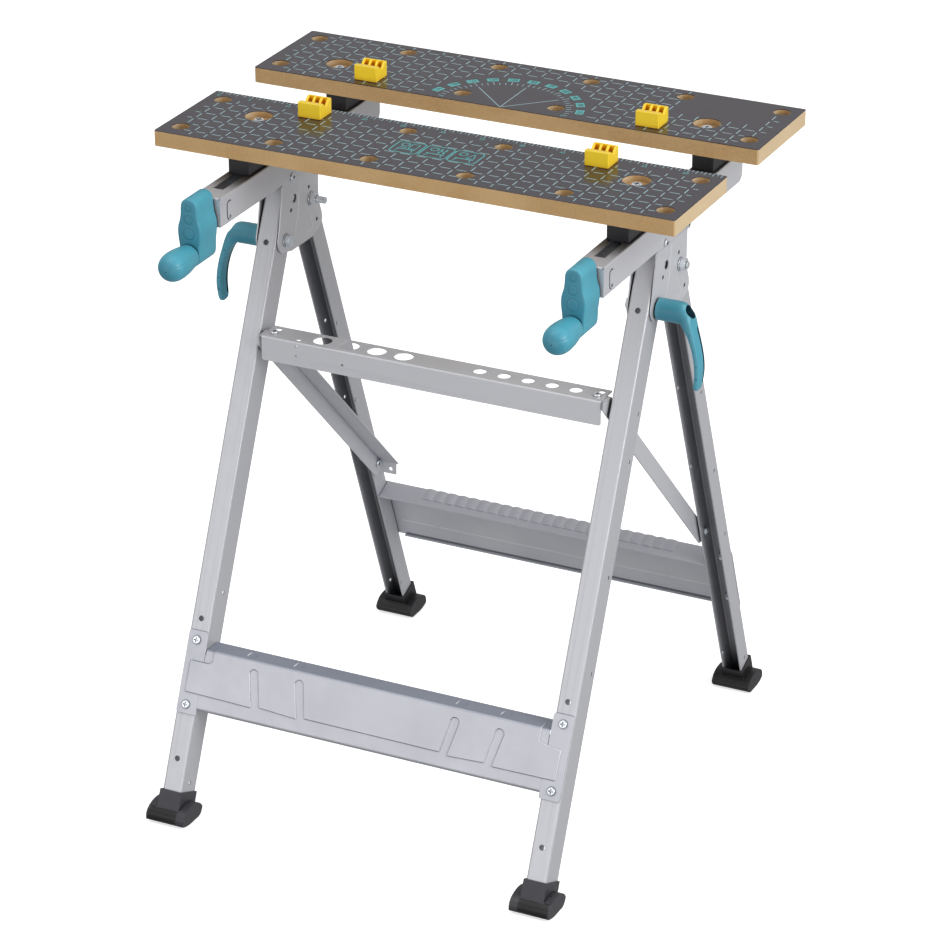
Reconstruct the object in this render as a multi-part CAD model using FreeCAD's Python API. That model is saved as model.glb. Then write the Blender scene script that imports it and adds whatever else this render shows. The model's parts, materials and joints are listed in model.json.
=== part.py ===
import FreeCAD, Part
import math
import os

# Folding clamping workbench. Millimetres. +X right, +Y away from the user, +Z up.
# The floor is z = 0 and the feet are centred on X = 0, Y = 0.

SHEET = 1.5                    # steel sheet of beams, legs, crossbars, braces and shelf
FIT = 0.05                     # radial running clearance of hinge pins and shafts
SIDE_X = 237.0                 # centre plane of each side unit

# Worktop
JAW_HALF_LENGTH = 322.5
JAW_BOTTOM, JAW_TOP = 781.0, 800.0
FRONT_JAW_Y = (-144.5, 4.0)
REAR_JAW_Y = (95.0, 242.4)
JAW_CHAMFER = 1.5
DOG_HOLE_R = 10.25
DOG_HOLE_X = (60.0, 180.5, 301.0)
FRONT_HOLE_ROWS = (-120.0, -20.5)
REAR_HOLE_ROWS = (121.0, 221.0)
COUNTERBORE_R, COUNTERBORE_DEPTH = 16.2, 8.0
FRONT_BOLT_Y, REAR_BOLT_Y = -51.0, 150.0
JAW_BOLT_R = 3.0

# Side beams with their gusset plates
BEAM_HALF = 17.5
BEAM_BOTTOM, BEAM_TOP = 710.0, 745.0
BEAM_FRONT, BEAM_REAR = -178.0, 220.0
SLOT_WIDTH, SLOT_FRONT, SLOT_REAR = 13.5, -151.0, 110.0
GUSSET_HALF = 15.0
JOGGLE_TOP, JOGGLE_BOTTOM = 709.5, 704.5
FRONT_PIVOT = (-20.5, 637.8)   # front leg and clamp lever axis (Y, Z)
REAR_PIVOT = (43.0, 668.5)     # rear leg axis
LOCK_PIN = (3.0, 682.0)        # pin in the front leg top that snaps into the gusset
TIE_Y, TIE_Z = (-6.5, 56.0), 712.5
PIVOT_R = 4.0
LOBE_R = 17.0

# Clamp screws and cranks
SPINDLE_Z, SPINDLE_R, SPINDLE_REAR = 729.0, 5.0, 62.0
CRANK_Z = 688.5
CRANK_FRONT, CRANK_BACK = -220.0, -180.5
KNOB_BACK = -221.0
NUT_Y = (-63.0, -39.0)

# Legs
FRONT_LINE, FRONT_SLOPE = -320.3, 0.4355     # web face: Y = line + slope * Z
REAR_LINE, REAR_SLOPE = 321.2, -0.3887
FRONT_TILT = math.degrees(math.atan(FRONT_SLOPE))
REAR_TILT = math.degrees(math.atan(REAR_SLOPE))
LEG_HALF = 12.5
FRONT_DEPTH, REAR_DEPTH = 35.0, 27.0
LEG_BEND = 3.0
FRONT_LEG_TOP = 60.0                         # beyond the pivot, along the leg
REAR_LEG_TOP = 15.0
FRONT_LEG_FOOT, REAR_LEG_FOOT = 23.0, 18.0   # cut leg ends inside the feet, along the leg

# Feet
FOOT_HALF = 25.0
FOOT_LENGTH, FOOT_HEIGHT = 47.2, 21.4
FOOT_TILT_CENTRE = 299.3
SLEEVE_WALL, SLEEVE_BOTTOM, SLEEVE_TOP = 2.0, 19.5, 41.8

# Crossbars, in heights above the floor
FRONT_BAR_Z = (133.0, 197.0)
FRONT_EAR_Z = (124.0, 216.0)
FRONT_SCREW_Z = (134.0, 205.0)
FRONT_FLANGE = 25.0
REAR_BAR_Z = (126.0, 213.0)
REAR_SCREW_Z = (142.0, 209.0)

# Braces and tool shelf
BRACE_PIVOT = (204.0, 254.3)
BRACE_FACE, BRACE_INNER = 221.6, 195.0
BRACE_LOW, BRACE_HIGH = -14.7, 7.2
LATCH = (-72.6, 525.0)
SHELF_TOP, SHELF_LOW = 546.0, 515.5
SHELF_FRONT, SHELF_BACK = -95.0, -62.0
SHELF_HALF = 216.5
SHELF_HOLE_Y = -77.3
LARGE_TOOL_X, LARGE_TOOL_R = (-144.9, -109.3, -74.4, -39.4), 11.5
SMALL_TOOL_X, SMALL_TOOL_R = (57.8, 88.4, 118.6, 148.8, 178.4), 7.75
SHELF_SCREW = (206.5, -81.5)

# Fasteners: hexagon across flats and height, washer radius and thickness
M8_FLATS, M8_HEIGHT = 13.0, 6.5
M6_FLATS, M6_HEIGHT = 10.0, 5.0
M5_FLATS, M5_HEIGHT = 8.0, 4.0
M8_WASHER_R, WASHER = 8.0, 1.6
SCREW_R, SCREW_HEAD_R, SCREW_HEAD = 2.5, 4.8, 2.6

# Bench dogs
DOG_X, DOG_FRONT_Y, DOG_REAR_Y = 180.5, -20.5, 121.0
DOG_PEG_R = 10.15
DOG_HALF, DOG_PEG = 14.5, 17.5

os.makedirs("parts", exist_ok=True)


def save(name, shape):
    shape.exportStep("parts/" + name + ".step")


def box(x0, x1, y0, y1, z0, z1):
    return Part.makeBox(x1 - x0, y1 - y0, z1 - z0, FreeCAD.Vector(x0, y0, z0))


def rod(axis, a, b, radius, start, end):
    """Cylinder along an axis; a and b are its other two coordinates in X, Y, Z order."""
    if axis == "x":
        base, direction = FreeCAD.Vector(start, a, b), FreeCAD.Vector(1, 0, 0)
    elif axis == "y":
        base, direction = FreeCAD.Vector(a, start, b), FreeCAD.Vector(0, 1, 0)
    else:
        base, direction = FreeCAD.Vector(a, b, start), FreeCAD.Vector(0, 0, 1)
    return Part.makeCylinder(radius, end - start, base, direction)


def prism(plane, points, start, end):
    """Straight-sided outline in a plane, drawn out from start to end."""
    if plane == "yz":
        corners = [FreeCAD.Vector(start, a, b) for a, b in points]
        sweep = FreeCAD.Vector(end - start, 0, 0)
    elif plane == "xz":
        corners = [FreeCAD.Vector(a, start, b) for a, b in points]
        sweep = FreeCAD.Vector(0, end - start, 0)
    else:
        corners = [FreeCAD.Vector(a, b, start) for a, b in points]
        sweep = FreeCAD.Vector(0, 0, end - start)
    return Part.Face(Part.makePolygon(corners + corners[:1])).extrude(sweep)


def hexagon(axis, a, b, flats, start, end):
    """Hexagon nut or bolt head along an axis."""
    radius = flats / math.sqrt(3.0)
    points = []
    for corner in range(6):
        angle = math.radians(60 * corner)
        points.append((a + radius * math.cos(angle), b + radius * math.sin(angle)))
    plane = {"x": "yz", "y": "xz", "z": "xy"}[axis]
    return prism(plane, points, start, end)


def fuse(shapes):
    whole = shapes[0]
    for shape in shapes[1:]:
        whole = whole.fuse(shape)
    return whole.removeSplitter()


def cut(shape, tools):
    for tool in tools:
        shape = shape.cut(tool)
    return shape


def rounded(shape, radius, wanted):
    """Fillet every edge whose bounding box passes the test."""
    edges = [edge for edge in shape.Edges if wanted(edge.BoundBox)]
    return shape.makeFillet(radius, edges)


def mirrored(shape):
    return shape.mirror(FreeCAD.Vector(0, 0, 0), FreeCAD.Vector(1, 0, 0))


def moved(shape, x, y, z):
    copy = shape.copy()
    copy.translate(FreeCAD.Vector(x, y, z))
    return copy


def save_pair(name, right):
    """A handed piece drawn on the right (+X) side and its mirror image."""
    save(name + "_right", right)
    save(name + "_left", mirrored(right))


def both_sides(right):
    return [right, mirrored(right)]


def front_leg_place(shape):
    """Leg frame: local z runs up the leg, local y goes back from the web face."""
    shape.rotate(FreeCAD.Vector(0, 0, 0), FreeCAD.Vector(1, 0, 0), -FRONT_TILT)
    shape.translate(FreeCAD.Vector(0, FRONT_LINE, 0))
    return shape


def rear_leg_place(shape):
    """Leg frame: local z runs up the leg, local y goes back out of the web face."""
    shape.rotate(FreeCAD.Vector(0, 0, 0), FreeCAD.Vector(1, 0, 0), -REAR_TILT)
    shape.translate(FreeCAD.Vector(0, REAR_LINE, 0))
    return shape


def along_front(height):
    """Distance up the front leg's web face that lies at a height above the floor."""
    return height / math.cos(math.radians(FRONT_TILT))


def along_rear(height):
    return height / math.cos(math.radians(REAR_TILT))


def leg_point(point, line, tilt):
    """World (Y, Z) to leg frame (along, depth)."""
    angle = math.radians(tilt)
    y, z = point[0] - line, point[1]
    along = y * math.sin(angle) + z * math.cos(angle)
    depth = y * math.cos(angle) - z * math.sin(angle)
    return along, depth


def phillips(axis, a, b, seat, outward, length, radius=SCREW_R, head_r=SCREW_HEAD_R, head=SCREW_HEAD):
    """Pan head screw: head on the outward side of the seat, shank going the other way."""
    top = seat + outward * head
    end = seat - outward * length
    shape = fuse([
        rod(axis, a, b, head_r, min(seat, top), max(seat, top)),
        rod(axis, a, b, radius, min(seat, end), max(seat, end)),
    ])
    rim = rounded(shape, head * 0.45, lambda box_: is_rim(box_, axis, top, head_r))
    depth = head * 0.6
    bar, arm = head_r * 0.16, head_r * 0.6
    low, high = min(top, top - outward * depth), max(top, top - outward * depth)
    cross = []
    for half_a, half_b in ((bar, arm), (arm, bar)):
        if axis == "x":
            cross.append(box(low, high, a - half_a, a + half_a, b - half_b, b + half_b))
        elif axis == "y":
            cross.append(box(a - half_a, a + half_a, low, high, b - half_b, b + half_b))
        else:
            cross.append(box(a - half_a, a + half_a, b - half_b, b + half_b, low, high))
    return cut(rim, cross)


def is_rim(bounds, axis, level, radius):
    """True for the circle of a given radius at one level along an axis."""
    limits = {
        "x": (bounds.XMin, bounds.XMax, bounds.YLength),
        "y": (bounds.YMin, bounds.YMax, bounds.XLength),
        "z": (bounds.ZMin, bounds.ZMax, bounds.XLength),
    }[axis]
    flat = abs(limits[0] - level) < 0.01 and abs(limits[1] - level) < 0.01
    return flat and abs(limits[2] - 2 * radius) < 0.05


# ---------------------------------------------------------------- side beams and gussets

def make_beam():
    shell = box(-BEAM_HALF, BEAM_HALF, BEAM_FRONT, BEAM_REAR, BEAM_BOTTOM, BEAM_TOP)
    shell = rounded(shell, 2.5, lambda b: b.ZMin > BEAM_TOP - 0.1)
    hollow = box(-BEAM_HALF + SHEET, BEAM_HALF - SHEET, BEAM_FRONT + SHEET, BEAM_REAR - SHEET,
                 BEAM_BOTTOM - 1, BEAM_TOP - SHEET)
    hollow = rounded(hollow, 1.0, lambda b: b.ZMin > BEAM_TOP - SHEET - 0.1)
    beam = shell.cut(hollow)

    half_slot = SLOT_WIDTH / 2
    slot = fuse([
        box(-half_slot, half_slot, SLOT_FRONT, SLOT_REAR - half_slot, 740, 750),
        rod("z", 0, SLOT_REAR - half_slot, half_slot, 740, 750),
    ])
    corner_r = 10.0
    corner = box(-20, 20, BEAM_REAR - corner_r, BEAM_REAR + 1, BEAM_BOTTOM - 1, BEAM_BOTTOM + corner_r)
    corner = corner.cut(rod("x", BEAM_REAR - corner_r, BEAM_BOTTOM + corner_r, corner_r, -20, 20))
    relief = [
        Part.makeSphere(2.2, FreeCAD.Vector(side * 16.6, BEAM_FRONT + 0.9, BEAM_TOP - 0.9))
        for side in (-1, 1)
    ]
    pilot = rod("z", 0, BEAM_FRONT + 9, 1.5, 740, 750)
    spindle_hole = rod("y", 0, SPINDLE_Z, 7.0, BEAM_FRONT - 1, BEAM_FRONT + 5)
    bolt_hole = rod("z", 0, REAR_BOLT_Y, JAW_BOLT_R, 740, 750)
    beam = cut(beam, [slot, corner, pilot, spindle_hole, bolt_hole] + relief)

    outline = [(-26.3, JOGGLE_BOTTOM), (-28, 676), (-36.8, 648), (-38.5, 641), (-22, 639.5),
               (-20, 622.5), (-6, 619), (44, 618.5), (64, 625.6), (60.5, 637), (71, 640),
               (64.6, 655), (62.3, 668.6), (63, JOGGLE_BOTTOM)]
    plate = fuse([
        prism("yz", outline, GUSSET_HALF - SHEET, GUSSET_HALF),
        rod("x", FRONT_PIVOT[0] - 1.5, FRONT_PIVOT[1] + 1.7, LOBE_R, GUSSET_HALF - SHEET, GUSSET_HALF),
        rod("x", 60.5, 635.5, 10.6, GUSSET_HALF - SHEET, GUSSET_HALF),
        prism("yz", [(-27.5, 690), (-35, 654), (-37, 648), (-20, 640), (0, 660)],
              GUSSET_HALF - SHEET, GUSSET_HALF),
    ])
    joggle = prism("xz", [
        (BEAM_HALF - SHEET, JOGGLE_TOP + 2), (BEAM_HALF, JOGGLE_TOP + 2), (BEAM_HALF, JOGGLE_TOP),
        (GUSSET_HALF, JOGGLE_BOTTOM), (GUSSET_HALF - SHEET, JOGGLE_BOTTOM),
        (BEAM_HALF - SHEET, JOGGLE_TOP),
    ], -26.3, 63)
    wall = fuse([plate, joggle])
    beam = fuse([beam, wall, mirrored(wall)])
    beam = cut(beam, [
        rod("x", LOCK_PIN[0], LOCK_PIN[1], 5.5, -20, 20),
        rod("x", REAR_PIVOT[0], REAR_PIVOT[1], PIVOT_R, -20, 20),
        rod("x", FRONT_PIVOT[0], FRONT_PIVOT[1], PIVOT_R, -20, 20),
        rod("x", 39, 684, 2.5, -20, 20),
        rod("x", -6, 670, 2.5, -20, 20),
        rod("x", 57.5, 637, 2.5, -20, 20),
        rod("x", TIE_Y[0], TIE_Z, SCREW_R, -20, 20),
        rod("x", TIE_Y[1], TIE_Z, SCREW_R, -20, 20),
    ])
    return beam


save_pair("side_beam", moved(make_beam(), SIDE_X, 0, 0))

# Tie spacers between the beam walls, one screw at each end
spacers, screws = [], []
for tie_y in TIE_Y:
    sleeve = rod("x", tie_y, TIE_Z, 3.5, -15.7, 15.7).cut(rod("x", tie_y, TIE_Z, SCREW_R, -16, 16))
    spacers += both_sides(moved(sleeve, SIDE_X, 0, 0))
    for face in (-1, 1):
        screw = phillips("x", tie_y, TIE_Z, face * BEAM_HALF, face, 12)
        screws += both_sides(moved(screw, SIDE_X, 0, 0))
save("tie_spacers", Part.makeCompound(spacers))
save("tie_screws", Part.makeCompound(screws))

# Rear leg pivots: long studs with a washer and nut on each face of the gusset
studs, nuts, washers = [], [], []
y, z = REAR_PIVOT
studs += both_sides(moved(rod("x", y, z, PIVOT_R, -35.0, 25.5), SIDE_X, 0, 0))
for face in (-1, 1):
    seat = face * GUSSET_HALF
    ring = rod("x", y, z, M8_WASHER_R, min(seat, seat + face * WASHER), max(seat, seat + face * WASHER))
    ring = ring.cut(rod("x", y, z, PIVOT_R, -40, 40))
    washers += both_sides(moved(ring, SIDE_X, 0, 0))
    near, far = seat + face * WASHER, seat + face * (WASHER + M8_HEIGHT)
    nut = hexagon("x", y, z, M8_FLATS, min(near, far), max(near, far)).cut(rod("x", y, z, PIVOT_R, -40, 40))
    nuts += both_sides(moved(nut, SIDE_X, 0, 0))
save("rear_pivot_studs", Part.makeCompound(studs))
save("rear_pivot_nuts", Part.makeCompound(nuts))

# Front leg pivots: hexagon bolts from the inside, threaded into the clamp levers
bolts = []
y, z = FRONT_PIVOT
head_seat = -GUSSET_HALF - WASHER
bolt = fuse([
    hexagon("x", y, z, M8_FLATS, head_seat - 5.3, head_seat),
    rod("x", y, z, PIVOT_R, head_seat, 44.0),
])
bolts = both_sides(moved(bolt, SIDE_X, 0, 0))
for start in (-GUSSET_HALF - WASHER, GUSSET_HALF):
    ring = rod("x", y, z, M8_WASHER_R, start, start + WASHER).cut(rod("x", y, z, PIVOT_R, -40, 40))
    washers += both_sides(moved(ring, SIDE_X, 0, 0))
save("front_pivot_bolts", Part.makeCompound(bolts))
save("pivot_washers", Part.makeCompound(washers))


# ---------------------------------------------------------------- worktop jaws

def make_jaw(y_range, rows, bolt_y):
    board = box(-JAW_HALF_LENGTH, JAW_HALF_LENGTH, y_range[0], y_range[1], JAW_BOTTOM, JAW_TOP)
    outer = JAW_HALF_LENGTH - 0.1
    board = board.makeChamfer(JAW_CHAMFER, [
        edge for edge in board.Edges
        if edge.BoundBox.ZLength > 1 and abs(edge.BoundBox.Center.x) > outer
    ])
    holes = []
    for hole_x in DOG_HOLE_X:
        for side in (-1, 1):
            for row in rows:
                holes.append(rod("z", side * hole_x, row, DOG_HOLE_R, JAW_BOTTOM - 1, JAW_TOP + 1))
    for side in (-1, 1):
        floor = JAW_TOP - COUNTERBORE_DEPTH
        holes.append(rod("z", side * SIDE_X, bolt_y, COUNTERBORE_R, floor, JAW_TOP + 1))
        holes.append(rod("z", side * SIDE_X, bolt_y, JAW_BOLT_R, JAW_BOTTOM - 1, JAW_TOP))
    return cut(board, holes)


save("jaw_front", make_jaw(FRONT_JAW_Y, FRONT_HOLE_ROWS, FRONT_BOLT_Y))
save("jaw_rear", make_jaw(REAR_JAW_Y, REAR_HOLE_ROWS, REAR_BOLT_Y))

# Jaw bolts, low in their counterbores
bolt_seat = JAW_TOP - COUNTERBORE_DEPTH
front_bolt = phillips("z", 0, FRONT_BOLT_Y, bolt_seat, 1, bolt_seat - 736.5, JAW_BOLT_R, 6.5, 4.0)
save("jaw_front_bolts", Part.makeCompound(both_sides(moved(front_bolt, SIDE_X, 0, 0))))
rear_bolt = phillips("z", 0, REAR_BOLT_Y, bolt_seat, 1, bolt_seat - 736.5, JAW_BOLT_R, 6.5, 4.0)
save("jaw_rear_bolts", Part.makeCompound(both_sides(moved(rear_bolt, SIDE_X, 0, 0))))
nut_top = BEAM_TOP - SHEET
nut = hexagon("z", 0, REAR_BOLT_Y, M6_FLATS, nut_top - M6_HEIGHT, nut_top)
nut = nut.cut(rod("z", 0, REAR_BOLT_Y, JAW_BOLT_R, 700, 800))
save("jaw_rear_nuts", Part.makeCompound(both_sides(moved(nut, SIDE_X, 0, 0))))

# Moulded blocks between the beams and the jaws
BLOCK_HALF = 13.25
rear_block = box(-BLOCK_HALF, BLOCK_HALF, 139.5, 215.0, BEAM_TOP, JAW_BOTTOM)
rear_block = rear_block.cut(rod("z", 0, REAR_BOLT_Y, JAW_BOLT_R, 700, 800))
save_pair("rear_block", moved(rear_block, SIDE_X, 0, 0))

TONGUE_HALF, RIDE = 6.45, 0.3
front_block = fuse([
    box(-BLOCK_HALF, BLOCK_HALF, -101.5, 0.0, BEAM_TOP + RIDE, JAW_BOTTOM),
    box(-TONGUE_HALF, TONGUE_HALF, -75.0, -27.0, 743.0, BEAM_TOP + RIDE),
])
front_block = front_block.cut(rod("z", 0, FRONT_BOLT_Y, JAW_BOLT_R, 700, 800))
save_pair("front_block", moved(front_block, SIDE_X, 0, 0))

spindle_nut = box(-12.0, 12.0, NUT_Y[0], NUT_Y[1], 717.5, 743.0)
spindle_nut = cut(spindle_nut, [
    rod("y", 0, SPINDLE_Z, SPINDLE_R + FIT, -100, 0),
    rod("z", 0, FRONT_BOLT_Y, JAW_BOLT_R, 736.4, 750),
])
save_pair("spindle_nut", moved(spindle_nut, SIDE_X, 0, 0))


# ---------------------------------------------------------------- clamp screws, cranks, knobs

COLLAR_R, COLLAR_LENGTH = 8.0, 4.0
bush_front, bush_rear = BEAM_FRONT - 1.5, BEAM_FRONT + 5.0
bush = fuse([
    rod("y", 0, SPINDLE_Z, 7.0, BEAM_FRONT, bush_rear),
    rod("y", 0, SPINDLE_Z, 9.5, bush_front, BEAM_FRONT),
]).cut(rod("y", 0, SPINDLE_Z, SPINDLE_R + FIT, -190, -160))
save_pair("spindle_bush", moved(bush, SIDE_X, 0, 0))

collar_front = bush_rear + 0.3
spindle = fuse([
    rod("y", 0, SPINDLE_Z, SPINDLE_R, CRANK_FRONT + 6, SPINDLE_REAR),
    rod("y", 0, SPINDLE_Z, COLLAR_R, collar_front, collar_front + COLLAR_LENGTH),
])
spindle = spindle.makeChamfer(1.0, [
    edge for edge in spindle.Edges if edge.BoundBox.YMin > SPINDLE_REAR - 0.01
])
save_pair("spindle", moved(spindle, SIDE_X, 0, 0))


def make_crank():
    top_r, bottom_r = 10.5, 13.0
    top_z, bottom_z = 745.5, 687.5
    side = [(top_r, top_z), (11.5, 736), (15.0, 718), (13.5, 700), (bottom_r, bottom_z)]
    outline = side + [(-x, z) for x, z in reversed(side)]
    arm = fuse([
        prism("xz", outline, CRANK_FRONT, CRANK_BACK),
        rod("y", 0, top_z, top_r, CRANK_FRONT, CRANK_BACK),
        rod("y", 0, bottom_z, bottom_r, CRANK_FRONT, CRANK_BACK),
    ])
    shallow = 0.8
    rings = [
        rod("y", 0, 745.5, 4.0, CRANK_FRONT - 1, CRANK_FRONT + shallow),
        rod("y", 0, 731.5, 5.5, CRANK_FRONT - 1, CRANK_FRONT + shallow),
        rod("y", 0, 714.5, 7.2, CRANK_FRONT - 1, CRANK_FRONT + shallow),
    ]
    return cut(arm, rings + [
        rod("y", 0, SPINDLE_Z, SPINDLE_R, CRANK_FRONT + 6, CRANK_BACK + 1),
        rod("y", 0, CRANK_Z, 4.0, CRANK_FRONT - 1, CRANK_BACK - 6),
    ])


def make_knob():
    """Turned egg-shaped handle, bored for its pin."""
    profile = [(-221.0, 13.2), (-226.5, 14.5), (-233.0, 15.6), (-240.0, 16.5), (-247.0, 17.0),
               (-254.0, 17.1), (-260.5, 16.5), (-266.2, 14.6), (-270.6, 11.2), (-273.4, 6.4),
               (-274.6, 2.0)]
    curve = Part.BSplineCurve()
    curve.interpolate([FreeCAD.Vector(radius, y, 0) for y, radius in profile])
    tip = FreeCAD.Vector(profile[-1][1], profile[-1][0], 0)
    nose = FreeCAD.Vector(0, profile[-1][0], 0)
    back = FreeCAD.Vector(0, profile[0][0], 0)
    rim = FreeCAD.Vector(profile[0][1], profile[0][0], 0)
    wire = Part.Wire([curve.toShape(), Part.makeLine(tip, nose), Part.makeLine(nose, back),
                      Part.makeLine(back, rim)])
    solid = Part.Face(wire).revolve(FreeCAD.Vector(0, 0, 0), FreeCAD.Vector(0, 1, 0), 360)
    solid.translate(FreeCAD.Vector(0, 0, CRANK_Z))
    return solid.cut(rod("y", 0, CRANK_Z, 4.0 + FIT, -262, -210))


save_pair("crank_arm", moved(make_crank(), SIDE_X, 0, 0))
save_pair("crank_knob", moved(make_knob(), SIDE_X, 0, 0))
pin = rod("y", 0, CRANK_Z, 4.0, -260.0, CRANK_BACK - 6)
save_pair("knob_pin", moved(pin, SIDE_X, 0, 0))


# ---------------------------------------------------------------- clamp levers

def make_lever():
    hub_y, hub_z, hub_r, hub_start = FRONT_PIVOT[0], FRONT_PIVOT[1], 13.0, 16.9
    hub = rod("x", hub_y, hub_z, hub_r, hub_start, 54.0)
    slant = prism("xz", [(53.0, 652), (53.0, 640), (47.0, 624), (80, 620), (80, 655)], -45, 5)
    hub = hub.cut(slant)
    outer = [(50.0, 651), (53.5, 643), (59.0, 634), (68.5, 606), (72.3, 583), (71.0, 558), (70.2, 552)]
    inner = [(64.8, 552), (65.8, 559), (67.2, 583), (63.2, 605), (53.6, 630), (40.0, 633), (40.0, 651)]
    arm = prism("xz", outer + inner, -35.0, -15.0)
    tip = fuse([
        box(40, 80, -36, -14, 557, 660),
        rod("x", -25.0, 557.0, 10.0, 40, 80),
    ])
    arm = arm.common(tip)
    lever = fuse([hub, arm])
    return cut(lever, [
        rod("x", hub_y, hub_z, PIVOT_R + FIT, 10, 46),
        rod("x", hub_y, hub_z, 6.0, 46, 90),
    ])


save_pair("clamp_lever", moved(make_lever(), SIDE_X, 0, 0))


# ---------------------------------------------------------------- legs

def channel(depth, bottom, top, opening):
    """C channel, web at local y = 0, flanges towards the opening (+1 back, -1 front)."""
    y0, y1 = min(0, opening * depth), max(0, opening * depth)
    outer = box(-LEG_HALF, LEG_HALF, y0, y1, bottom, top)
    outer = rounded(outer, LEG_BEND, lambda b: b.ZLength > 1 and abs(b.YMin) < 0.01 and abs(b.YMax) < 0.01)
    web = opening * SHEET
    inner = box(-LEG_HALF + SHEET, LEG_HALF - SHEET, min(web, opening * 60), max(web, opening * 60),
                bottom - 1, top + 1)
    inner = rounded(inner, LEG_BEND - SHEET,
                    lambda b: b.ZLength > 1 and abs(b.Center.y - web) < 0.01 and b.YLength < 0.01)
    return outer.cut(inner)


front_along, front_depth = leg_point(FRONT_PIVOT, FRONT_LINE, FRONT_TILT)
lock_along, lock_depth = leg_point(LOCK_PIN, FRONT_LINE, FRONT_TILT)
front_leg = channel(FRONT_DEPTH, FRONT_LEG_FOOT, front_along + FRONT_LEG_TOP, 1)
holes = [
    rod("x", front_depth, front_along, PIVOT_R + FIT, -20, 20),
    rod("x", lock_depth, lock_along, 3.5, -20, 20),
]
for height in (640.0, 228.5, 74.0):
    holes.append(rod("y", 0, along_front(height), 3.5, -5, 5))
for height in FRONT_SCREW_Z:
    holes.append(rod("y", 0, along_front(height), SCREW_R, -5, 5))
for point in ((-64.5, 524.7), (-86.4, 474.0), (-139.7, 351.6), (-185.0, 249.7)):
    along, depth = leg_point(point, FRONT_LINE, FRONT_TILT)
    holes.append(rod("x", depth, along, 2.5, 5, 20))
for point in ((-188.2, 250.6), (-282.2, 41.1)):
    along, depth = leg_point(point, FRONT_LINE, FRONT_TILT)
    holes.append(rod("x", depth, along, 2.5, -20, -5))
latch_along, latch_depth = leg_point(LATCH, FRONT_LINE, FRONT_TILT)
holes.append(rod("x", latch_depth, latch_along, 2.5, -20, -5))
front_leg = cut(front_leg, holes)
save_pair("front_leg", moved(front_leg_place(front_leg), SIDE_X, 0, 0))

lock_pin = rod("x", lock_depth, lock_along, 3.5, -13.2, 13.2)
lock_pin = rounded(lock_pin, 1.2, lambda b: is_rim(b, "x", -13.2, 3.5) or is_rim(b, "x", 13.2, 3.5))
save("lock_pins", Part.makeCompound(both_sides(moved(front_leg_place(lock_pin), SIDE_X, 0, 0))))

# Latch studs: the braces hook over these, on the inner flange of each front leg
latch_head = BRACE_FACE - SHEET - 0.3 - SIDE_X
latch = fuse([
    rod("x", latch_depth, latch_along, 2.5, latch_head - 1.4, -LEG_HALF + SHEET + 2.0),
    rod("x", latch_depth, latch_along, 4.5, latch_head - 1.5, latch_head),
    rod("x", latch_depth, latch_along, 4.5, -LEG_HALF + SHEET, -LEG_HALF + SHEET + 2.0),
])
save("latch_studs", Part.makeCompound(both_sides(moved(front_leg_place(latch), SIDE_X, 0, 0))))

rear_along, rear_depth = leg_point(REAR_PIVOT, REAR_LINE, REAR_TILT)
rear_leg = channel(REAR_DEPTH, REAR_LEG_FOOT, rear_along + REAR_LEG_TOP, -1)
holes = [rod("x", rear_depth, rear_along, PIVOT_R + FIT, -20, 20)]
for height in REAR_SCREW_Z:
    holes.append(rod("y", 0, along_rear(height), SCREW_R, -5, 5))
for point in ((123.8, 475.4), (171.6, 353.7), (212.3, 251.4), (291.2, 43.9)):
    along, depth = leg_point(point, REAR_LINE, REAR_TILT)
    holes.append(rod("x", depth, along, 2.5, 5, 20))
for point in ((109.6, 482.2), (155.2, 361.1), (276.4, 52.0)):
    along, depth = leg_point(point, REAR_LINE, REAR_TILT)
    holes.append(rod("x", depth, along, 2.5, -20, -5))
brace_along, brace_depth = leg_point(BRACE_PIVOT, REAR_LINE, REAR_TILT)
holes.append(rod("x", brace_depth, brace_along, SCREW_R, -20, -5))
rear_leg = cut(rear_leg, holes)
save_pair("rear_leg", moved(rear_leg_place(rear_leg), SIDE_X, 0, 0))


# ---------------------------------------------------------------- feet

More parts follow.
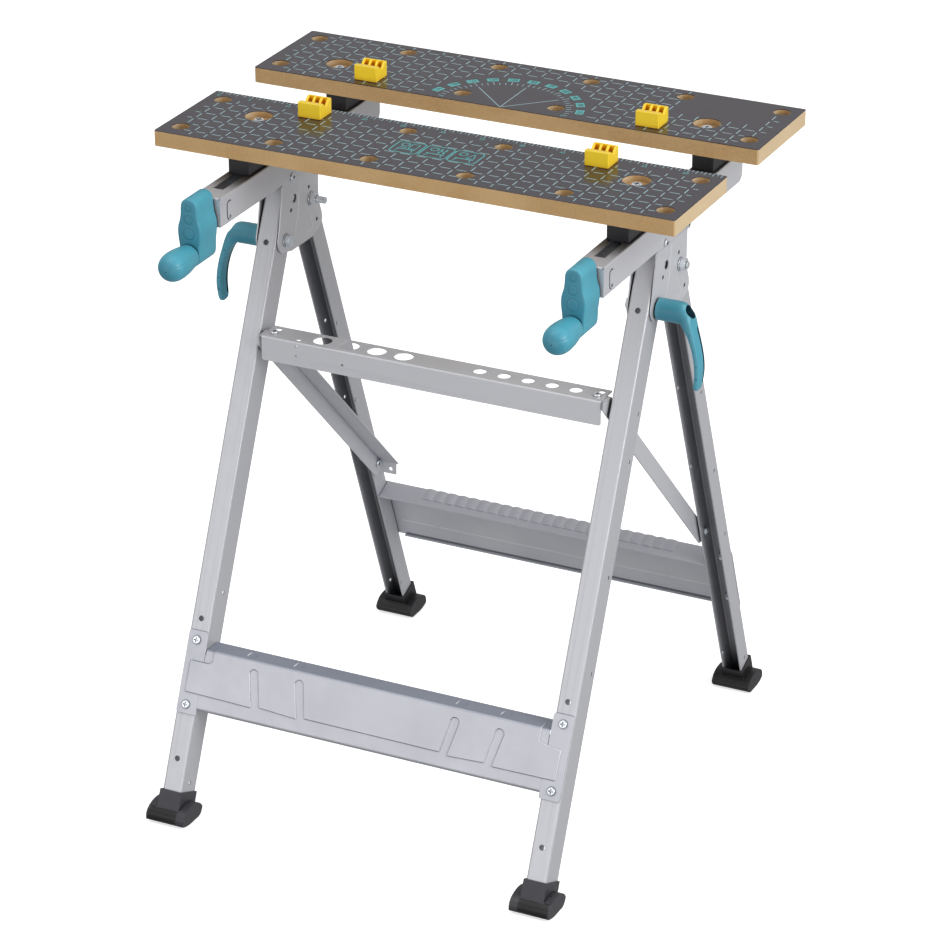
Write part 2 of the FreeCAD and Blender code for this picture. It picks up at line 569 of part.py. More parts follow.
def make_foot(tilt_sign):
    """Lens-shaped pad with a raked sleeve; tilt_sign is -1 at the front and +1 at the rear."""
    half = FOOT_LENGTH / 2
    curve = Part.BSplineCurve()
    upper = [(-half, 4.0), (-half + 3.0, 15.5), (-8.0, 20.9), (4.0, 21.4), (13.5, 19.0), (half, 9.0)]
    curve.interpolate([FreeCAD.Vector(0, y, z) for y, z in upper])
    lower = Part.BSplineCurve()
    points = [(half, 9.0), (16.8, 0.8), (10.0, 0.0)]
    lower.interpolate([FreeCAD.Vector(0, y, z) for y, z in points])
    flat = Part.makeLine(FreeCAD.Vector(0, 10.0, 0), FreeCAD.Vector(0, 0.0, 0))
    front = Part.BSplineCurve()
    front.interpolate([FreeCAD.Vector(0, 0.0, 0), FreeCAD.Vector(0, -13.0, 0.9), FreeCAD.Vector(0, -half, 4.0)])
    wire = Part.Wire([curve.toShape(), lower.toShape(), flat, front.toShape()])
    pad = Part.Face(wire).extrude(FreeCAD.Vector(2 * FOOT_HALF, 0, 0))
    pad.translate(FreeCAD.Vector(-FOOT_HALF, 0, 0))
    if tilt_sign > 0:
        pad = pad.mirror(FreeCAD.Vector(0, 0, 0), FreeCAD.Vector(0, 1, 0))
    pad.translate(FreeCAD.Vector(0, tilt_sign * FOOT_TILT_CENTRE, 0))
    depth = FRONT_DEPTH if tilt_sign < 0 else REAR_DEPTH
    y0 = -SLEEVE_WALL if tilt_sign < 0 else -depth - SLEEVE_WALL
    y1 = y0 + depth + 2 * SLEEVE_WALL
    leg_end = FRONT_LEG_FOOT if tilt_sign < 0 else REAR_LEG_FOOT
    sleeve = box(-LEG_HALF - SLEEVE_WALL, LEG_HALF + SLEEVE_WALL, y0, y1, SLEEVE_BOTTOM, SLEEVE_TOP)
    socket = box(-LEG_HALF, LEG_HALF, y0 + SLEEVE_WALL, y1 - SLEEVE_WALL, leg_end, SLEEVE_TOP + 20)
    place = front_leg_place if tilt_sign < 0 else rear_leg_place
    return fuse([pad, place(sleeve)]).cut(place(socket))


save_pair("front_foot", moved(make_foot(-1), SIDE_X, 0, 0))
save_pair("rear_foot", moved(make_foot(1), SIDE_X, 0, 0))


# ---------------------------------------------------------------- crossbars

def leg_outer(height, line, slope):
    return line + slope * height


ear_inner, ear_outer = 223.3, 248.8
front_bar = fuse([
    box(-ear_inner, ear_inner, -SHEET, 0, along_front(FRONT_BAR_Z[0]), along_front(FRONT_BAR_Z[1]) - 0.7),
] + both_sides(
    box(ear_inner - 0.01, ear_outer, -SHEET, 0, along_front(FRONT_EAR_Z[0]), along_front(FRONT_EAR_Z[1])),
))
slits = both_sides(box(222.0, ear_inner, -5, 5, along_front(192.0), along_front(FRONT_EAR_Z[1]) + 1))
front_bar = cut(front_bar, slits)
front_bar = rounded(front_bar, 3.0, lambda b: b.YLength > 1 and b.XLength < 0.01 and b.ZLength < 0.01
                    and abs(b.Center.x) > ear_outer - 0.1)
front_bar = front_leg_place(front_bar)
flange_front = leg_outer(FRONT_BAR_Z[1], FRONT_LINE, FRONT_SLOPE) - 1.6
flange = box(-222.0, 222.0, flange_front, flange_front + FRONT_FLANGE, FRONT_BAR_Z[1] - SHEET, FRONT_BAR_Z[1])
front_bar = fuse([front_bar, flange])
drill = []
for height in FRONT_SCREW_Z:
    drill.append(front_leg_place(rod("y", SIDE_X, along_front(height), SCREW_R, -5, 1)))
front_bar = cut(front_bar, drill + [mirrored(hole) for hole in drill])
save("front_crossbar", front_bar)

# Rear crossbar: flat panel, hemmed below, the top flange bent forward with a row of rounded ribs
RIB_COUNT, RIB_START, RIB_END = 23, -168.2, 178.0
RIB_RISE, RIB_DEPTH = 1.6, 18.0
low, high = along_rear(REAR_BAR_Z[0]), along_rear(REAR_BAR_Z[1])
rear_bar = fuse([
    box(-ear_outer, ear_outer, 0, SHEET, low, high),
    box(-223.8, 223.8, -REAR_DEPTH, SHEET, high - SHEET, high),
    box(-215.0, 215.0, -4.0, SHEET, low, low + SHEET),
])
pitch = (RIB_END - RIB_START) / RIB_COUNT
half = pitch / 2 - 0.5
rib_r = (half ** 2 + RIB_RISE ** 2) / (2 * RIB_RISE)
ribs = []
for index in range(RIB_COUNT):
    centre = RIB_START + pitch * (index + 0.5)
    barrel = rod("y", centre, high + RIB_RISE - rib_r, rib_r, SHEET - RIB_DEPTH, SHEET)
    ribs.append(barrel.common(box(centre - half, centre + half, -40, 10, high - 0.5, high + 5)))
rear_bar = rear_bar.multiFuse(ribs).removeSplitter()
drill = []
for height in REAR_SCREW_Z:
    drill.append(rod("y", SIDE_X, along_rear(height), SCREW_R, -1, 5))
rear_bar = cut(rear_bar, drill + [mirrored(hole) for hole in drill])
save("rear_crossbar", rear_leg_place(rear_bar))

for end, heights, outward, place, along in (
    ("front", FRONT_SCREW_Z, -1, front_leg_place, along_front),
    ("rear", REAR_SCREW_Z, 1, rear_leg_place, along_rear),
):
    screws, nuts = [], []
    for height in heights:
        up = along(height)
        screws += both_sides(place(phillips("y", SIDE_X, up, outward * SHEET, outward, 10)))
        near, far = -outward * SHEET, -outward * (SHEET + M5_HEIGHT)
        nut = hexagon("y", SIDE_X, up, M5_FLATS, min(near, far), max(near, far))
        nut = nut.cut(rod("y", SIDE_X, up, SCREW_R, -20, 20))
        nuts += both_sides(place(nut))
    save(end + "_bar_screws", Part.makeCompound(screws))
    save(end + "_bar_nuts", Part.makeCompound(nuts))


# ---------------------------------------------------------------- braces and tool shelf

def brace_point(along, across):
    """Brace frame to world (Y, Z): along runs up and forward from the brace pivot at 45 degrees."""
    root = math.sqrt(0.5)
    return (BRACE_PIVOT[0] + (across - along) * root, BRACE_PIVOT[1] + (across + along) * root)


shelf_under = SHELF_TOP - SHEET
bend_along = (shelf_under - BRACE_PIVOT[1]) / math.sqrt(0.5) - BRACE_HIGH
brace_back, brace_front = -12.0, -97.0
web_outline = [
    brace_point(brace_back + 4, BRACE_LOW), brace_point(brace_back, BRACE_LOW + 4),
    brace_point(brace_back, BRACE_HIGH), brace_point(bend_along, BRACE_HIGH),
    (brace_front, shelf_under), (brace_front, 534.5),
]
upper_sheet = [
    brace_point(-6.0, BRACE_HIGH), brace_point(bend_along, BRACE_HIGH),
    brace_point(bend_along - 0.6, BRACE_HIGH - SHEET), brace_point(-6.0, BRACE_HIGH - SHEET),
]
bend_y = brace_point(bend_along, BRACE_HIGH)[0]
brace = fuse([
    prism("yz", web_outline, BRACE_FACE - SHEET, BRACE_FACE),
    prism("yz", upper_sheet, BRACE_INNER, BRACE_FACE),
    box(BRACE_INNER, BRACE_FACE, -92.0, bend_y + 1.0, shelf_under - SHEET, shelf_under),
])
latch_along_brace, latch_across = 387.0, -4.2
notch = [
    brace_point(latch_along_brace - 3.2, latch_across), brace_point(latch_along_brace - 6.0, -16),
    brace_point(latch_along_brace + 3.2, -16), brace_point(latch_along_brace + 3.2, latch_across),
]
brace = cut(brace, [
    prism("yz", notch, BRACE_FACE - 5, BRACE_FACE + 5),
    rod("x", LATCH[0], LATCH[1], 3.2, BRACE_FACE - 5, BRACE_FACE + 5),
    rod("x", BRACE_PIVOT[0], BRACE_PIVOT[1], SCREW_R + FIT, 215, 230),
    rod("z", SHELF_SCREW[0], SHELF_SCREW[1], SCREW_R, 530, 550),
])
save("brace_right", brace)
# The left brace ends in a small punched tab turned down behind the rear leg
tab = box(197.5, 218.0, 210.5, 212.0, 240.0, 256.0).cut(rod("y", 205.0, 246.4, 2.5, 200, 220))
save("brace_left", mirrored(brace.fuse(tab).removeSplitter()))

# Brace pivots: screw from the inner side, spacer washer and nut on the leg flange
flange_face = SIDE_X - LEG_HALF
y, z = BRACE_PIVOT
screw = phillips("x", y, z, BRACE_FACE - SHEET - 0.3, -1, 11)
spacer = rod("x", y, z, 5.0, BRACE_FACE + 0.3, flange_face).cut(rod("x", y, z, SCREW_R, 200, 240))
nut = hexagon("x", y, z, M5_FLATS, flange_face + SHEET, flange_face + SHEET + M5_HEIGHT)
nut = nut.cut(rod("x", y, z, SCREW_R, 200, 240))
save("brace_pivot_screws", Part.makeCompound(both_sides(screw)))
save("brace_pivot_nuts", Part.makeCompound(both_sides(spacer) + both_sides(nut)))

shelf = fuse([
    box(-SHELF_HALF, SHELF_HALF, SHELF_FRONT, SHELF_BACK, shelf_under, SHELF_TOP),
    box(-SHELF_HALF, SHELF_HALF, SHELF_FRONT, SHELF_FRONT + SHEET, SHELF_LOW, SHELF_TOP),
])
shelf = rounded(shelf, 2.0, lambda b: b.XLength > 1 and b.ZMin > SHELF_TOP - 0.1 and b.YMax < SHELF_FRONT + 0.1)
shelf = rounded(shelf, 2.5, lambda b: b.XLength < 0.01 and b.ZLength < 0.01 and b.ZMax < SHELF_LOW + 0.1)
holes = []
for hole_x in LARGE_TOOL_X:
    holes.append(rod("z", hole_x, SHELF_HOLE_Y, LARGE_TOOL_R, 540, 550))
for hole_x in SMALL_TOOL_X:
    holes.append(rod("z", hole_x, SHELF_HOLE_Y, SMALL_TOOL_R, 540, 550))
holes.append(rod("z", -171.0, -87.4, 3.2, 540, 550))
holes += both_sides(rod("z", 207.0, -70.5, 4.7, 540, 550))
holes += both_sides(rod("z", SHELF_SCREW[0], SHELF_SCREW[1], SCREW_R, 540, 550))
for hole_x, hole_z in ((-171.0, 540.0), (-171.5, 528.0), (-111.0, 528.0)):
    holes.append(rod("y", hole_x, hole_z, 1.6, SHELF_FRONT - 1, SHELF_FRONT + 3))
shelf = cut(shelf, holes)
save("tool_shelf", shelf)

screw = phillips("z", SHELF_SCREW[0], SHELF_SCREW[1], SHELF_TOP, 1, 9)
nut = hexagon("z", SHELF_SCREW[0], SHELF_SCREW[1], M5_FLATS, shelf_under - SHEET - M5_HEIGHT,
              shelf_under - SHEET)
nut = nut.cut(rod("z", SHELF_SCREW[0], SHELF_SCREW[1], SCREW_R, 530, 550))
save("shelf_screws", Part.makeCompound(both_sides(screw)))
save("shelf_nuts", Part.makeCompound(both_sides(nut)))


# ---------------------------------------------------------------- bench dogs

DOG_BASE = JAW_TOP + 0.3
dog_profile = [(-14.3, 0), (-14.3, 18.0), (-7.0, 17.8), (2.0, 11.4), (9.0, 18.2), (14.3, 18.2), (14.3, 0)]
dog = prism("yz", dog_profile, -DOG_HALF, DOG_HALF)
slots = [box(centre - 2.8, centre + 2.8, 1.0, 12.0, 7.0, 25.0) for centre in (-8.6, 0, 8.6)]
dog = cut(dog, slots)
dog = rounded(dog, 0.8, lambda b: b.ZLength > 10 and abs(b.Center.x) > DOG_HALF - 0.1)
peg = rod("z", 0, 0, DOG_PEG_R, -DOG_PEG, 0.5)
peg = rounded(peg, 1.5, lambda b: is_rim(b, "z", -DOG_PEG, DOG_PEG_R))
dog = fuse([dog, peg])
for row, dog_y in (("front", DOG_FRONT_Y), ("rear", DOG_REAR_Y)):
    save("dog_" + row + "_right", moved(dog, DOG_X, dog_y, DOG_BASE))
    save("dog_" + row + "_left", moved(dog, -DOG_X, dog_y, DOG_BASE))
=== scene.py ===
import json
import math

import bmesh
import bpy
from mathutils import Matrix, Vector


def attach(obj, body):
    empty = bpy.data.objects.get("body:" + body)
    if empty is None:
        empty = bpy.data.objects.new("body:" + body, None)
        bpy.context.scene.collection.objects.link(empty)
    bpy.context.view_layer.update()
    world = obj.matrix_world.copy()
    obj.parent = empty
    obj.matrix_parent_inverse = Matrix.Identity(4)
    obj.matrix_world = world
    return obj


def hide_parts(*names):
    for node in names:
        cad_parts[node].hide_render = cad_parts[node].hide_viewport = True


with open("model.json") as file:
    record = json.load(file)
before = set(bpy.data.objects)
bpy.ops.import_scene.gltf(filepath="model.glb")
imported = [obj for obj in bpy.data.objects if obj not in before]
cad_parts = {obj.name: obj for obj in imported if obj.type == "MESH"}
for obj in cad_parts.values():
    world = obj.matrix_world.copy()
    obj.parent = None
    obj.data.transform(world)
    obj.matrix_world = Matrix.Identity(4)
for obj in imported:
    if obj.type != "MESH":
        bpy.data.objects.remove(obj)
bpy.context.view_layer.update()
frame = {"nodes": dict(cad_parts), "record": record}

MM = 0.001
nodes = frame["nodes"]


# ------------------------------------------------------------------ material tools

NOISE_SPAN = (0.3, 0.7)  # most of a noise field lies in this range
EDGE_POINTINESS = (0.52, 0.60)
CREASE_SAMPLES = 6
GRAIN_HEIGHT = 0.0004
BOARD_GRAIN_HEIGHT = 0.0005
HOLE_SHADE_FADE = 1.2
LAMINATE_Z = (0.79910, 0.79916)


def rgb(text):
    """sRGB hex to linear RGBA."""
    parts = [int(text[i:i + 2], 16) / 255 for i in (0, 2, 4)]
    return tuple(((c + 0.055) / 1.055) ** 2.4 if c > 0.04 else c / 12.92 for c in parts) + (1.0,)


def graph(name):
    """New node material, with its tree and its main shader."""
    material = bpy.data.materials.new(name)
    material.use_nodes = True
    tree = material.node_tree
    return material, tree, tree.nodes["Principled BSDF"]


def coordinates(tree, scale=(1, 1, 1)):
    """Object coordinates in metres, stretched by scale."""
    coords = tree.nodes.new("ShaderNodeTexCoord")
    mapping = tree.nodes.new("ShaderNodeMapping")
    mapping.inputs["Scale"].default_value = scale
    tree.links.new(coords.outputs["Object"], mapping.inputs["Vector"])
    return mapping.outputs["Vector"]


def noise_field(tree, vector, scale, detail=4.0, rough=0.5):
    field = tree.nodes.new("ShaderNodeTexNoise")
    field.inputs["Scale"].default_value = scale
    field.inputs["Detail"].default_value = detail
    field.inputs["Roughness"].default_value = rough
    tree.links.new(vector, field.inputs["Vector"])
    return field.outputs["Fac"]


def remap(tree, value, low, high, new_low, new_high):
    node = tree.nodes.new("ShaderNodeMapRange")
    node.inputs["From Min"].default_value = low
    node.inputs["From Max"].default_value = high
    node.inputs["To Min"].default_value = new_low
    node.inputs["To Max"].default_value = new_high
    tree.links.new(value, node.inputs["Value"])
    return node.outputs["Result"]


def blend(tree, kind, places, factor, first, second):
    """Mix node of one kind; places are the numbers of its two inputs and its output."""
    node = tree.nodes.new("ShaderNodeMix")
    node.data_type = kind
    for socket, value in ((node.inputs[places[0]], first), (node.inputs[places[1]], second)):
        if isinstance(value, (tuple, float)):
            socket.default_value = value
        else:
            tree.links.new(value, socket)
    tree.links.new(factor, node.inputs[0])
    return node.outputs[places[2]]


def blend_colour(tree, factor, first, second):
    return blend(tree, "RGBA", (6, 7, 2), factor, first, second)


def blend_value(tree, factor, first, second):
    return blend(tree, "FLOAT", (2, 3, 0), factor, first, second)


def bumped(tree, shader, height, strength, distance):
    node = tree.nodes.new("ShaderNodeBump")
    node.inputs["Strength"].default_value = strength
    node.inputs["Distance"].default_value = distance
    tree.links.new(height, node.inputs["Height"])
    tree.links.new(node.outputs["Normal"], shader.inputs["Normal"])


def convex_edges(tree):
    """1 on convex edges, 0 elsewhere."""
    geometry = tree.nodes.new("ShaderNodeNewGeometry")
    return remap(tree, geometry.outputs["Pointiness"], *EDGE_POINTINESS, 0.0, 1.0)


def faces_along(tree, axis, low, high):
    """1 on faces square to an object axis, 0 on the others."""
    coords = tree.nodes.new("ShaderNodeTexCoord")
    split = tree.nodes.new("ShaderNodeSeparateXYZ")
    tree.links.new(coords.outputs["Normal"], split.inputs["Vector"])
    size = tree.nodes.new("ShaderNodeMath")
    size.operation = "ABSOLUTE"
    tree.links.new(split.outputs[axis], size.inputs[0])
    return remap(tree, size.outputs[0], low, high, 0.0, 1.0)


def crease_shaded(tree, colour, dark, distance, low, high):
    """Painted shade: darkens a colour towards the dark tone in corners and recesses, by ambient occlusion.
    """
    shade = tree.nodes.new("ShaderNodeAmbientOcclusion")
    shade.samples = CREASE_SAMPLES
    shade.inputs["Distance"].default_value = distance
    open_air = remap(tree, shade.outputs["AO"], low, high, 0.0, 1.0)
    return blend_colour(tree, open_air, dark, colour)


def finish_like(name, light, dark, roughness, metallic=0.0, patches=14.0, grain=700.0, bump=0.12,
                edge_tone=None, specular=0.5, crease_shades=(), facing_light_and_shade=None):
    """Colour drifting between two tones, grainy roughness and a fine surface bump.

    The face-direction argument is (axis, tone, low, high): painted light and shade, faces that look along
    the axis drift to that tone.
    Each crease shade is (tone, distance, low, high), painted shade in corners and recesses, as the crease
    function takes it.
    """
    material, tree, shader = graph(name)
    vector = coordinates(tree)
    drift = remap(tree, noise_field(tree, vector, patches), *NOISE_SPAN, 0.0, 1.0)
    colour = blend_colour(tree, drift, rgb(dark), rgb(light))
    # Painted light and shade: faces turned along one axis take a lighter or darker tone
    if facing_light_and_shade:
        axis, tone, low, high = facing_light_and_shade
        colour = blend_colour(tree, faces_along(tree, axis, low, high), colour, rgb(tone))
    # A lighter tone on convex edges
    if edge_tone:
        colour = blend_colour(tree, convex_edges(tree), colour, rgb(edge_tone))
    # Painted shade in corners and recesses
    for tone, distance, low, high in crease_shades:
        colour = crease_shaded(tree, colour, rgb(tone), distance, low, high)
    tree.links.new(colour, shader.inputs["Base Color"])
    fine = noise_field(tree, vector, grain, 3.0, 0.6)
    rough = remap(tree, noise_field(tree, vector, patches * 6, 6.0, 0.65), *NOISE_SPAN, *roughness)
    tree.links.new(rough, shader.inputs["Roughness"])
    shader.inputs["Metallic"].default_value = metallic
    shader.inputs["Specular IOR Level"].default_value = specular
    bumped(tree, shader, fine, bump, GRAIN_HEIGHT)
    return material


def hole_shade_spots(material, spots, radius, tone):
    """Painted shade: dark spots on the leg flanges where the holes of the gussets leave them open."""
    tree = material.node_tree
    base = tree.nodes["Principled BSDF"].inputs["Base Color"]
    colour = base.links[0].from_socket
    for y, z in spots:
        reach = tree.nodes.new("ShaderNodeVectorMath")
        reach.operation = "DISTANCE"
        tree.links.new(coordinates(tree, (0, 1, 1)), reach.inputs[0])
        reach.inputs[1].default_value = (0.0, y * MM, z * MM)
        near = remap(tree, reach.outputs["Value"], radius * MM, radius * MM * HOLE_SHADE_FADE, 1.0, 0.0)
        colour = blend_colour(tree, near, colour, rgb(tone))
    tree.links.new(colour, base)


def board_material():
    """Fibreboard with a dark laminate on its top 0.8 mm."""
    material, tree, shader = graph("board")
    vector = coordinates(tree)
    fibres = coordinates(tree, (0.35, 1, 1.6))
    wood = remap(tree, noise_field(tree, fibres, 900.0, 6.0, 0.7), *NOISE_SPAN, 0.0, 1.0)
    colour = blend_colour(tree, wood, rgb("a17d4b"), rgb("c5a16f"))
    broad = remap(tree, noise_field(tree, vector, 18.0, 3.0), 0.35, 0.65, 0.0, 0.35)
    colour = blend_colour(tree, broad, colour, rgb("d0b081"))
    # Painted light: faces that look along X, the board's ends, turn paler
    lit_ends = remap(tree, faces_along(tree, "X", 0.55, 0.95), 0.0, 1.0, 0.0, 0.6)
    colour = blend_colour(tree, lit_ends, colour, rgb("dcc9a7"))
    # Painted shade in corners and recesses, such as the dog holes
    colour = crease_shaded(tree, colour, rgb("5f4120"), 0.024, 0.08, 0.44)
    speck = remap(tree, noise_field(tree, vector, 500.0, 2.0), 0.35, 0.65, 0.0, 1.0)
    laminate = blend_colour(tree, speck, rgb("251f29"), rgb("2e2732"))
    shader.inputs["IOR"].default_value = 1.62
    split = tree.nodes.new("ShaderNodeSeparateXYZ")
    tree.links.new(vector, split.inputs["Vector"])
    top = remap(tree, split.outputs["Z"], *LAMINATE_Z, 0.0, 1.0)
    tree.links.new(blend_colour(tree, top, colour, laminate), shader.inputs["Base Color"])
    smear = remap(tree, noise_field(tree, vector, 30.0, 5.0, 0.6), *NOISE_SPAN, 0.14, 0.20)
    tree.links.new(blend_value(tree, top, 0.78, smear), shader.inputs["Roughness"])
    grain = noise_field(tree, fibres, 1500.0, 5.0, 0.7)
    pores = remap(tree, noise_field(tree, vector, 700.0, 2.0), 0.0, 1.0, 0.46, 0.54)
    bumped(tree, shader, blend_value(tree, top, grain, pores), 0.35, BOARD_GRAIN_HEIGHT)
    return material


# ------------------------------------------------------------------ finishes

PAINT = {"grain": 1400.0, "bump": 0.10}
SILVER = {"metallic": 0.35, **PAINT}
TEAL = {"patches": 25.0, "grain": 1500.0, "bump": 0.10}
PRINT = {"patches": 40.0, "bump": 0.02}
# Painted shade within 1.6 mm of another surface, in fine creases
FINE_CREASE_SHADE = ("75767d", 0.0016, 0.35, 0.80)
GUSSET_HOLES = ((-6.0, 670.0), (39.0, 684.0), (57.5, 637.0))

# Painted shade in fine creases and, fainter, within 3 cm of other parts
silver = finish_like("silver_paint", "c3c4cb", "b5b6be", (0.34, 0.46), edge_tone="d0d1d6",
                     crease_shades=(FINE_CREASE_SHADE, ("85868e", 0.03, 0.0, 0.5)), **SILVER)
# Shelf: painted light on faces that look up, painted shade in creases
shelf_paint = finish_like("silver_shelf", "bdbec5", "b1b2ba", (0.34, 0.46), edge_tone="d0d1d6",
                          facing_light_and_shade=("Z", "d8d9df", 0.45, 0.95), crease_shades=(FINE_CREASE_SHADE,), **SILVER)
# Beam: strong painted shade in creases and, out to 8 cm, near other parts such as the jaws above
beam_paint = finish_like("silver_beam", "bbbcc5", "adaeb8", (0.34, 0.46), edge_tone="d0d1d6",
                         crease_shades=(("3d3f46", 0.0018, 0.40, 0.85), ("0c0c0e", 0.08, 0.14, 0.56)), **SILVER)
# Legs: painted light on faces that look along X, painted shade in creases and inside the channels
leg_paint = finish_like("silver_leg", "999aa4", "8d8e98", (0.32, 0.44), edge_tone="c4c5ca",
                        facing_light_and_shade=("X", "c2c3cb", 0.4, 0.9),
                        crease_shades=(("5b5c64", 0.0016, 0.35, 0.80), ("4a4b51", 0.034, 0.05, 0.62)), **SILVER)
# Painted shade on the legs where they show through the gusset holes
hole_shade_spots(leg_paint, GUSSET_HOLES, 4.5, "1b1b1d")
# Rear crossbar: painted shade on faces that look up, and in creases
rear_bar_paint = finish_like("silver_rear_bar", "d6d7dd", "cbccd3", (0.34, 0.46),
                             facing_light_and_shade=("Z", "b4b6be", 0.45, 0.95),
                             crease_shades=(("8d8e96", 0.0016, 0.35, 0.80),), **SILVER)
# Dark finish for the hem: painted shade
hem_shade = finish_like("silver_hem_shade", "74757c", "66676e", (0.40, 0.52), metallic=0.2, **PAINT)
# Front crossbar: painted shade on faces square to Z, such as the flange, and in creases
pressed = finish_like("silver_pressed", "c6c7ce", "bcbdc5", (0.34, 0.46), facing_light_and_shade=("Z", "8f95a3", 0.45, 0.95),
                      crease_shades=(("3c3f47", 0.0022, 0.50, 0.92), ("8d8e96", 0.012, 0.1, 0.6)), **SILVER)
# Painted shade and painted highlight finishes for the walls of the emboss and for beads
pressed_shade = finish_like("silver_shade", "3b3e46", "32353c", (0.40, 0.52), **PAINT)
pressed_light = finish_like("silver_light", "dfe0e4", "d6d7dc", (0.26, 0.36), metallic=0.30, **PAINT)

# Zinc: painted shade in fine creases
zinc = finish_like("zinc", "f6f9fd", "d8e1ea", (0.10, 0.20), metallic=0.75, patches=60.0, grain=1800.0,
                   crease_shades=(("262b35", 0.0024, 0.30, 0.88),))
steel = finish_like("steel", "8d8f94", "6c6d72", (0.28, 0.45), metallic=0.9, patches=50.0, grain=1500.0)

# Black plastic: painted shade in creases
black = finish_like("black_plastic", "161618", "101012", (0.34, 0.48), patches=30.0, grain=1300.0,
                    bump=0.18, edge_tone="3a3a3f", specular=0.42,
                    crease_shades=(("040405", 0.0035, 0.30, 0.88),))
# Teal: painted shade on faces that look along Y, and in creases and recesses
teal = finish_like("teal_plastic", "4fa4b9", "4598ad", (0.32, 0.44), edge_tone="6fb8ca",
                   facing_light_and_shade=("Y", "3a8499", 0.35, 0.95),
                   crease_shades=(("1f5263", 0.0026, 0.30, 0.85), ("16404f", 0.016, 0.05, 0.50)), **TEAL)
# Darker teal: painted shade on the rims of discs and dots
teal_rim_shade = finish_like("teal_rim_shade", "2b7388", "25687c", (0.40, 0.52), **TEAL)
# Darkest teal: painted shade on the groove walls and in the hollow of the lever's knuckle
teal_hollow_shade = finish_like("teal_hollow_shade", "14414f", "0f3541", (0.40, 0.52), **TEAL)
# Yellow: orange painted shade in recesses, out to 1 cm
yellow = finish_like("yellow_plastic", "ffdb12", "f9cd02", (0.30, 0.42), patches=30.0, grain=1300.0,
                     bump=0.10, edge_tone="ffe05a", crease_shades=(("c9690a", 0.0100, 0.15, 0.72),))

board = board_material()
print_pale = finish_like("print_pale", "a8c8d0", "9abac3", (0.30, 0.40), **PRINT)
print_teal = finish_like("print_teal", "58bebd", "4eb0b1", (0.30, 0.40), **PRINT)
print_dark = finish_like("print_dark", "343437", "2b2b2d", (0.30, 0.40), **PRINT)


# ------------------------------------------------------------------ carried-over CAD nodes

BY_SLOT = {"silver_paint": silver, "zinc": zinc, "steel": steel, "black_plastic": black,
           "teal_plastic": teal, "yellow_plastic": yellow, "board": board}
SLOT_OF = {entry["node"]: entry["material_slot"] for entry in frame["record"]["subparts"]}
OWN_FINISH = {"tool_shelf": shelf_paint, "side_beam": beam_paint, "front_leg": leg_paint,
              "rear_leg": leg_paint, "rear_crossbar": rear_bar_paint}
# Thin sheet keeps its CAD bends and cut edges
SHEET_METAL = ("front_leg", "rear_leg", "tool_shelf", "brace_left", "brace_right", "rear_crossbar",
               "side_beam")

# Edge rounding in millimetres
EDGE = 0.25
SOFT_EDGE = {"jaw_front": 0.5, "jaw_rear": 0.5, "front_foot": 0.8, "rear_foot": 0.8, "dog": 0.5}
WELD_DISTANCE = 0.000004
SAME_PLANE = math.radians(0.8)
EDGE_ANGLE = math.radians(38)


def soften(obj, width):
    """Welds the tessellated faces, merges flat ones and rounds the edges."""
    mesh = obj.data
    if "custom_normal" in mesh.attributes:
        mesh.attributes.remove(mesh.attributes["custom_normal"])
    for face in mesh.polygons:
        face.use_smooth = True
    weld = obj.modifiers.new("weld", "WELD")
    weld.merge_threshold = WELD_DISTANCE
    flat = obj.modifiers.new("flat", "DECIMATE")
    flat.decimate_type = "DISSOLVE"
    flat.angle_limit = SAME_PLANE
    bevel = obj.modifiers.new("bevel", "BEVEL")
    bevel.width = width * MM
    bevel.segments = 2
    bevel.limit_method = "ANGLE"
    bevel.angle_limit = EDGE_ANGLE
    bevel.use_clamp_overlap = True
    normals = obj.modifiers.new("normals", "WEIGHTED_NORMAL")
    normals.weight = 100
    normals.keep_sharp = False


for node_name, obj in nodes.items():
    material = BY_SLOT[SLOT_OF[node_name]]
    for prefix, own in OWN_FINISH.items():
        if node_name.startswith(prefix):
            material = own
    obj.data.materials.clear()
    obj.data.materials.append(material)
    if node_name.startswith(SHEET_METAL):
        continue
    width = EDGE
    for prefix, value in SOFT_EDGE.items():
        if node_name.startswith(prefix):
            width = value
    soften(obj, width)


# ------------------------------------------------------------------ mesh tools

SIDE_X = 237.0  # centre plane of a side beam and its spindle
SHARP = math.radians(32)


def link_object(name, data):
    obj = bpy.data.objects.new(name, data)
    bpy.context.scene.collection.objects.link(obj)
    return obj


def add_object(name, bm, material, body, stands_for=(), sharp=SHARP, shaded=False):
    """Makes a piece that rides on a body; a shaded one already has its own smooth and flat faces."""
    if not shaded:
        bmesh.ops.recalc_face_normals(bm, faces=bm.faces)
        for face in bm.faces:
            face.smooth = True
    mesh = bpy.data.meshes.new(name)
    bm.to_mesh(mesh)
    bm.free()
    mesh.set_sharp_from_angle(angle=sharp)
    obj = link_object(name, mesh)
    mesh.materials.append(material)
    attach(obj, body)
    if stands_for:
        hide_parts(*stands_for)
    return obj


def loft(bm, rings, cap_start=True, cap_end=True):
    """Skin through rings of points in millimetres, each with the same count."""
    loops = [[bm.verts.new(Vector(point) * MM) for point in ring] for ring in rings]
    count = len(loops[0])
    for first, second in zip(loops, loops[1:]):
        for i in range(count):
            j = (i + 1) % count
            bm.faces.new((first[i], first[j], second[j], second[i]))
    if cap_start:
        bm.faces.new(loops[0][::-1])
    if cap_end:
        bm.faces.new(loops[-1])


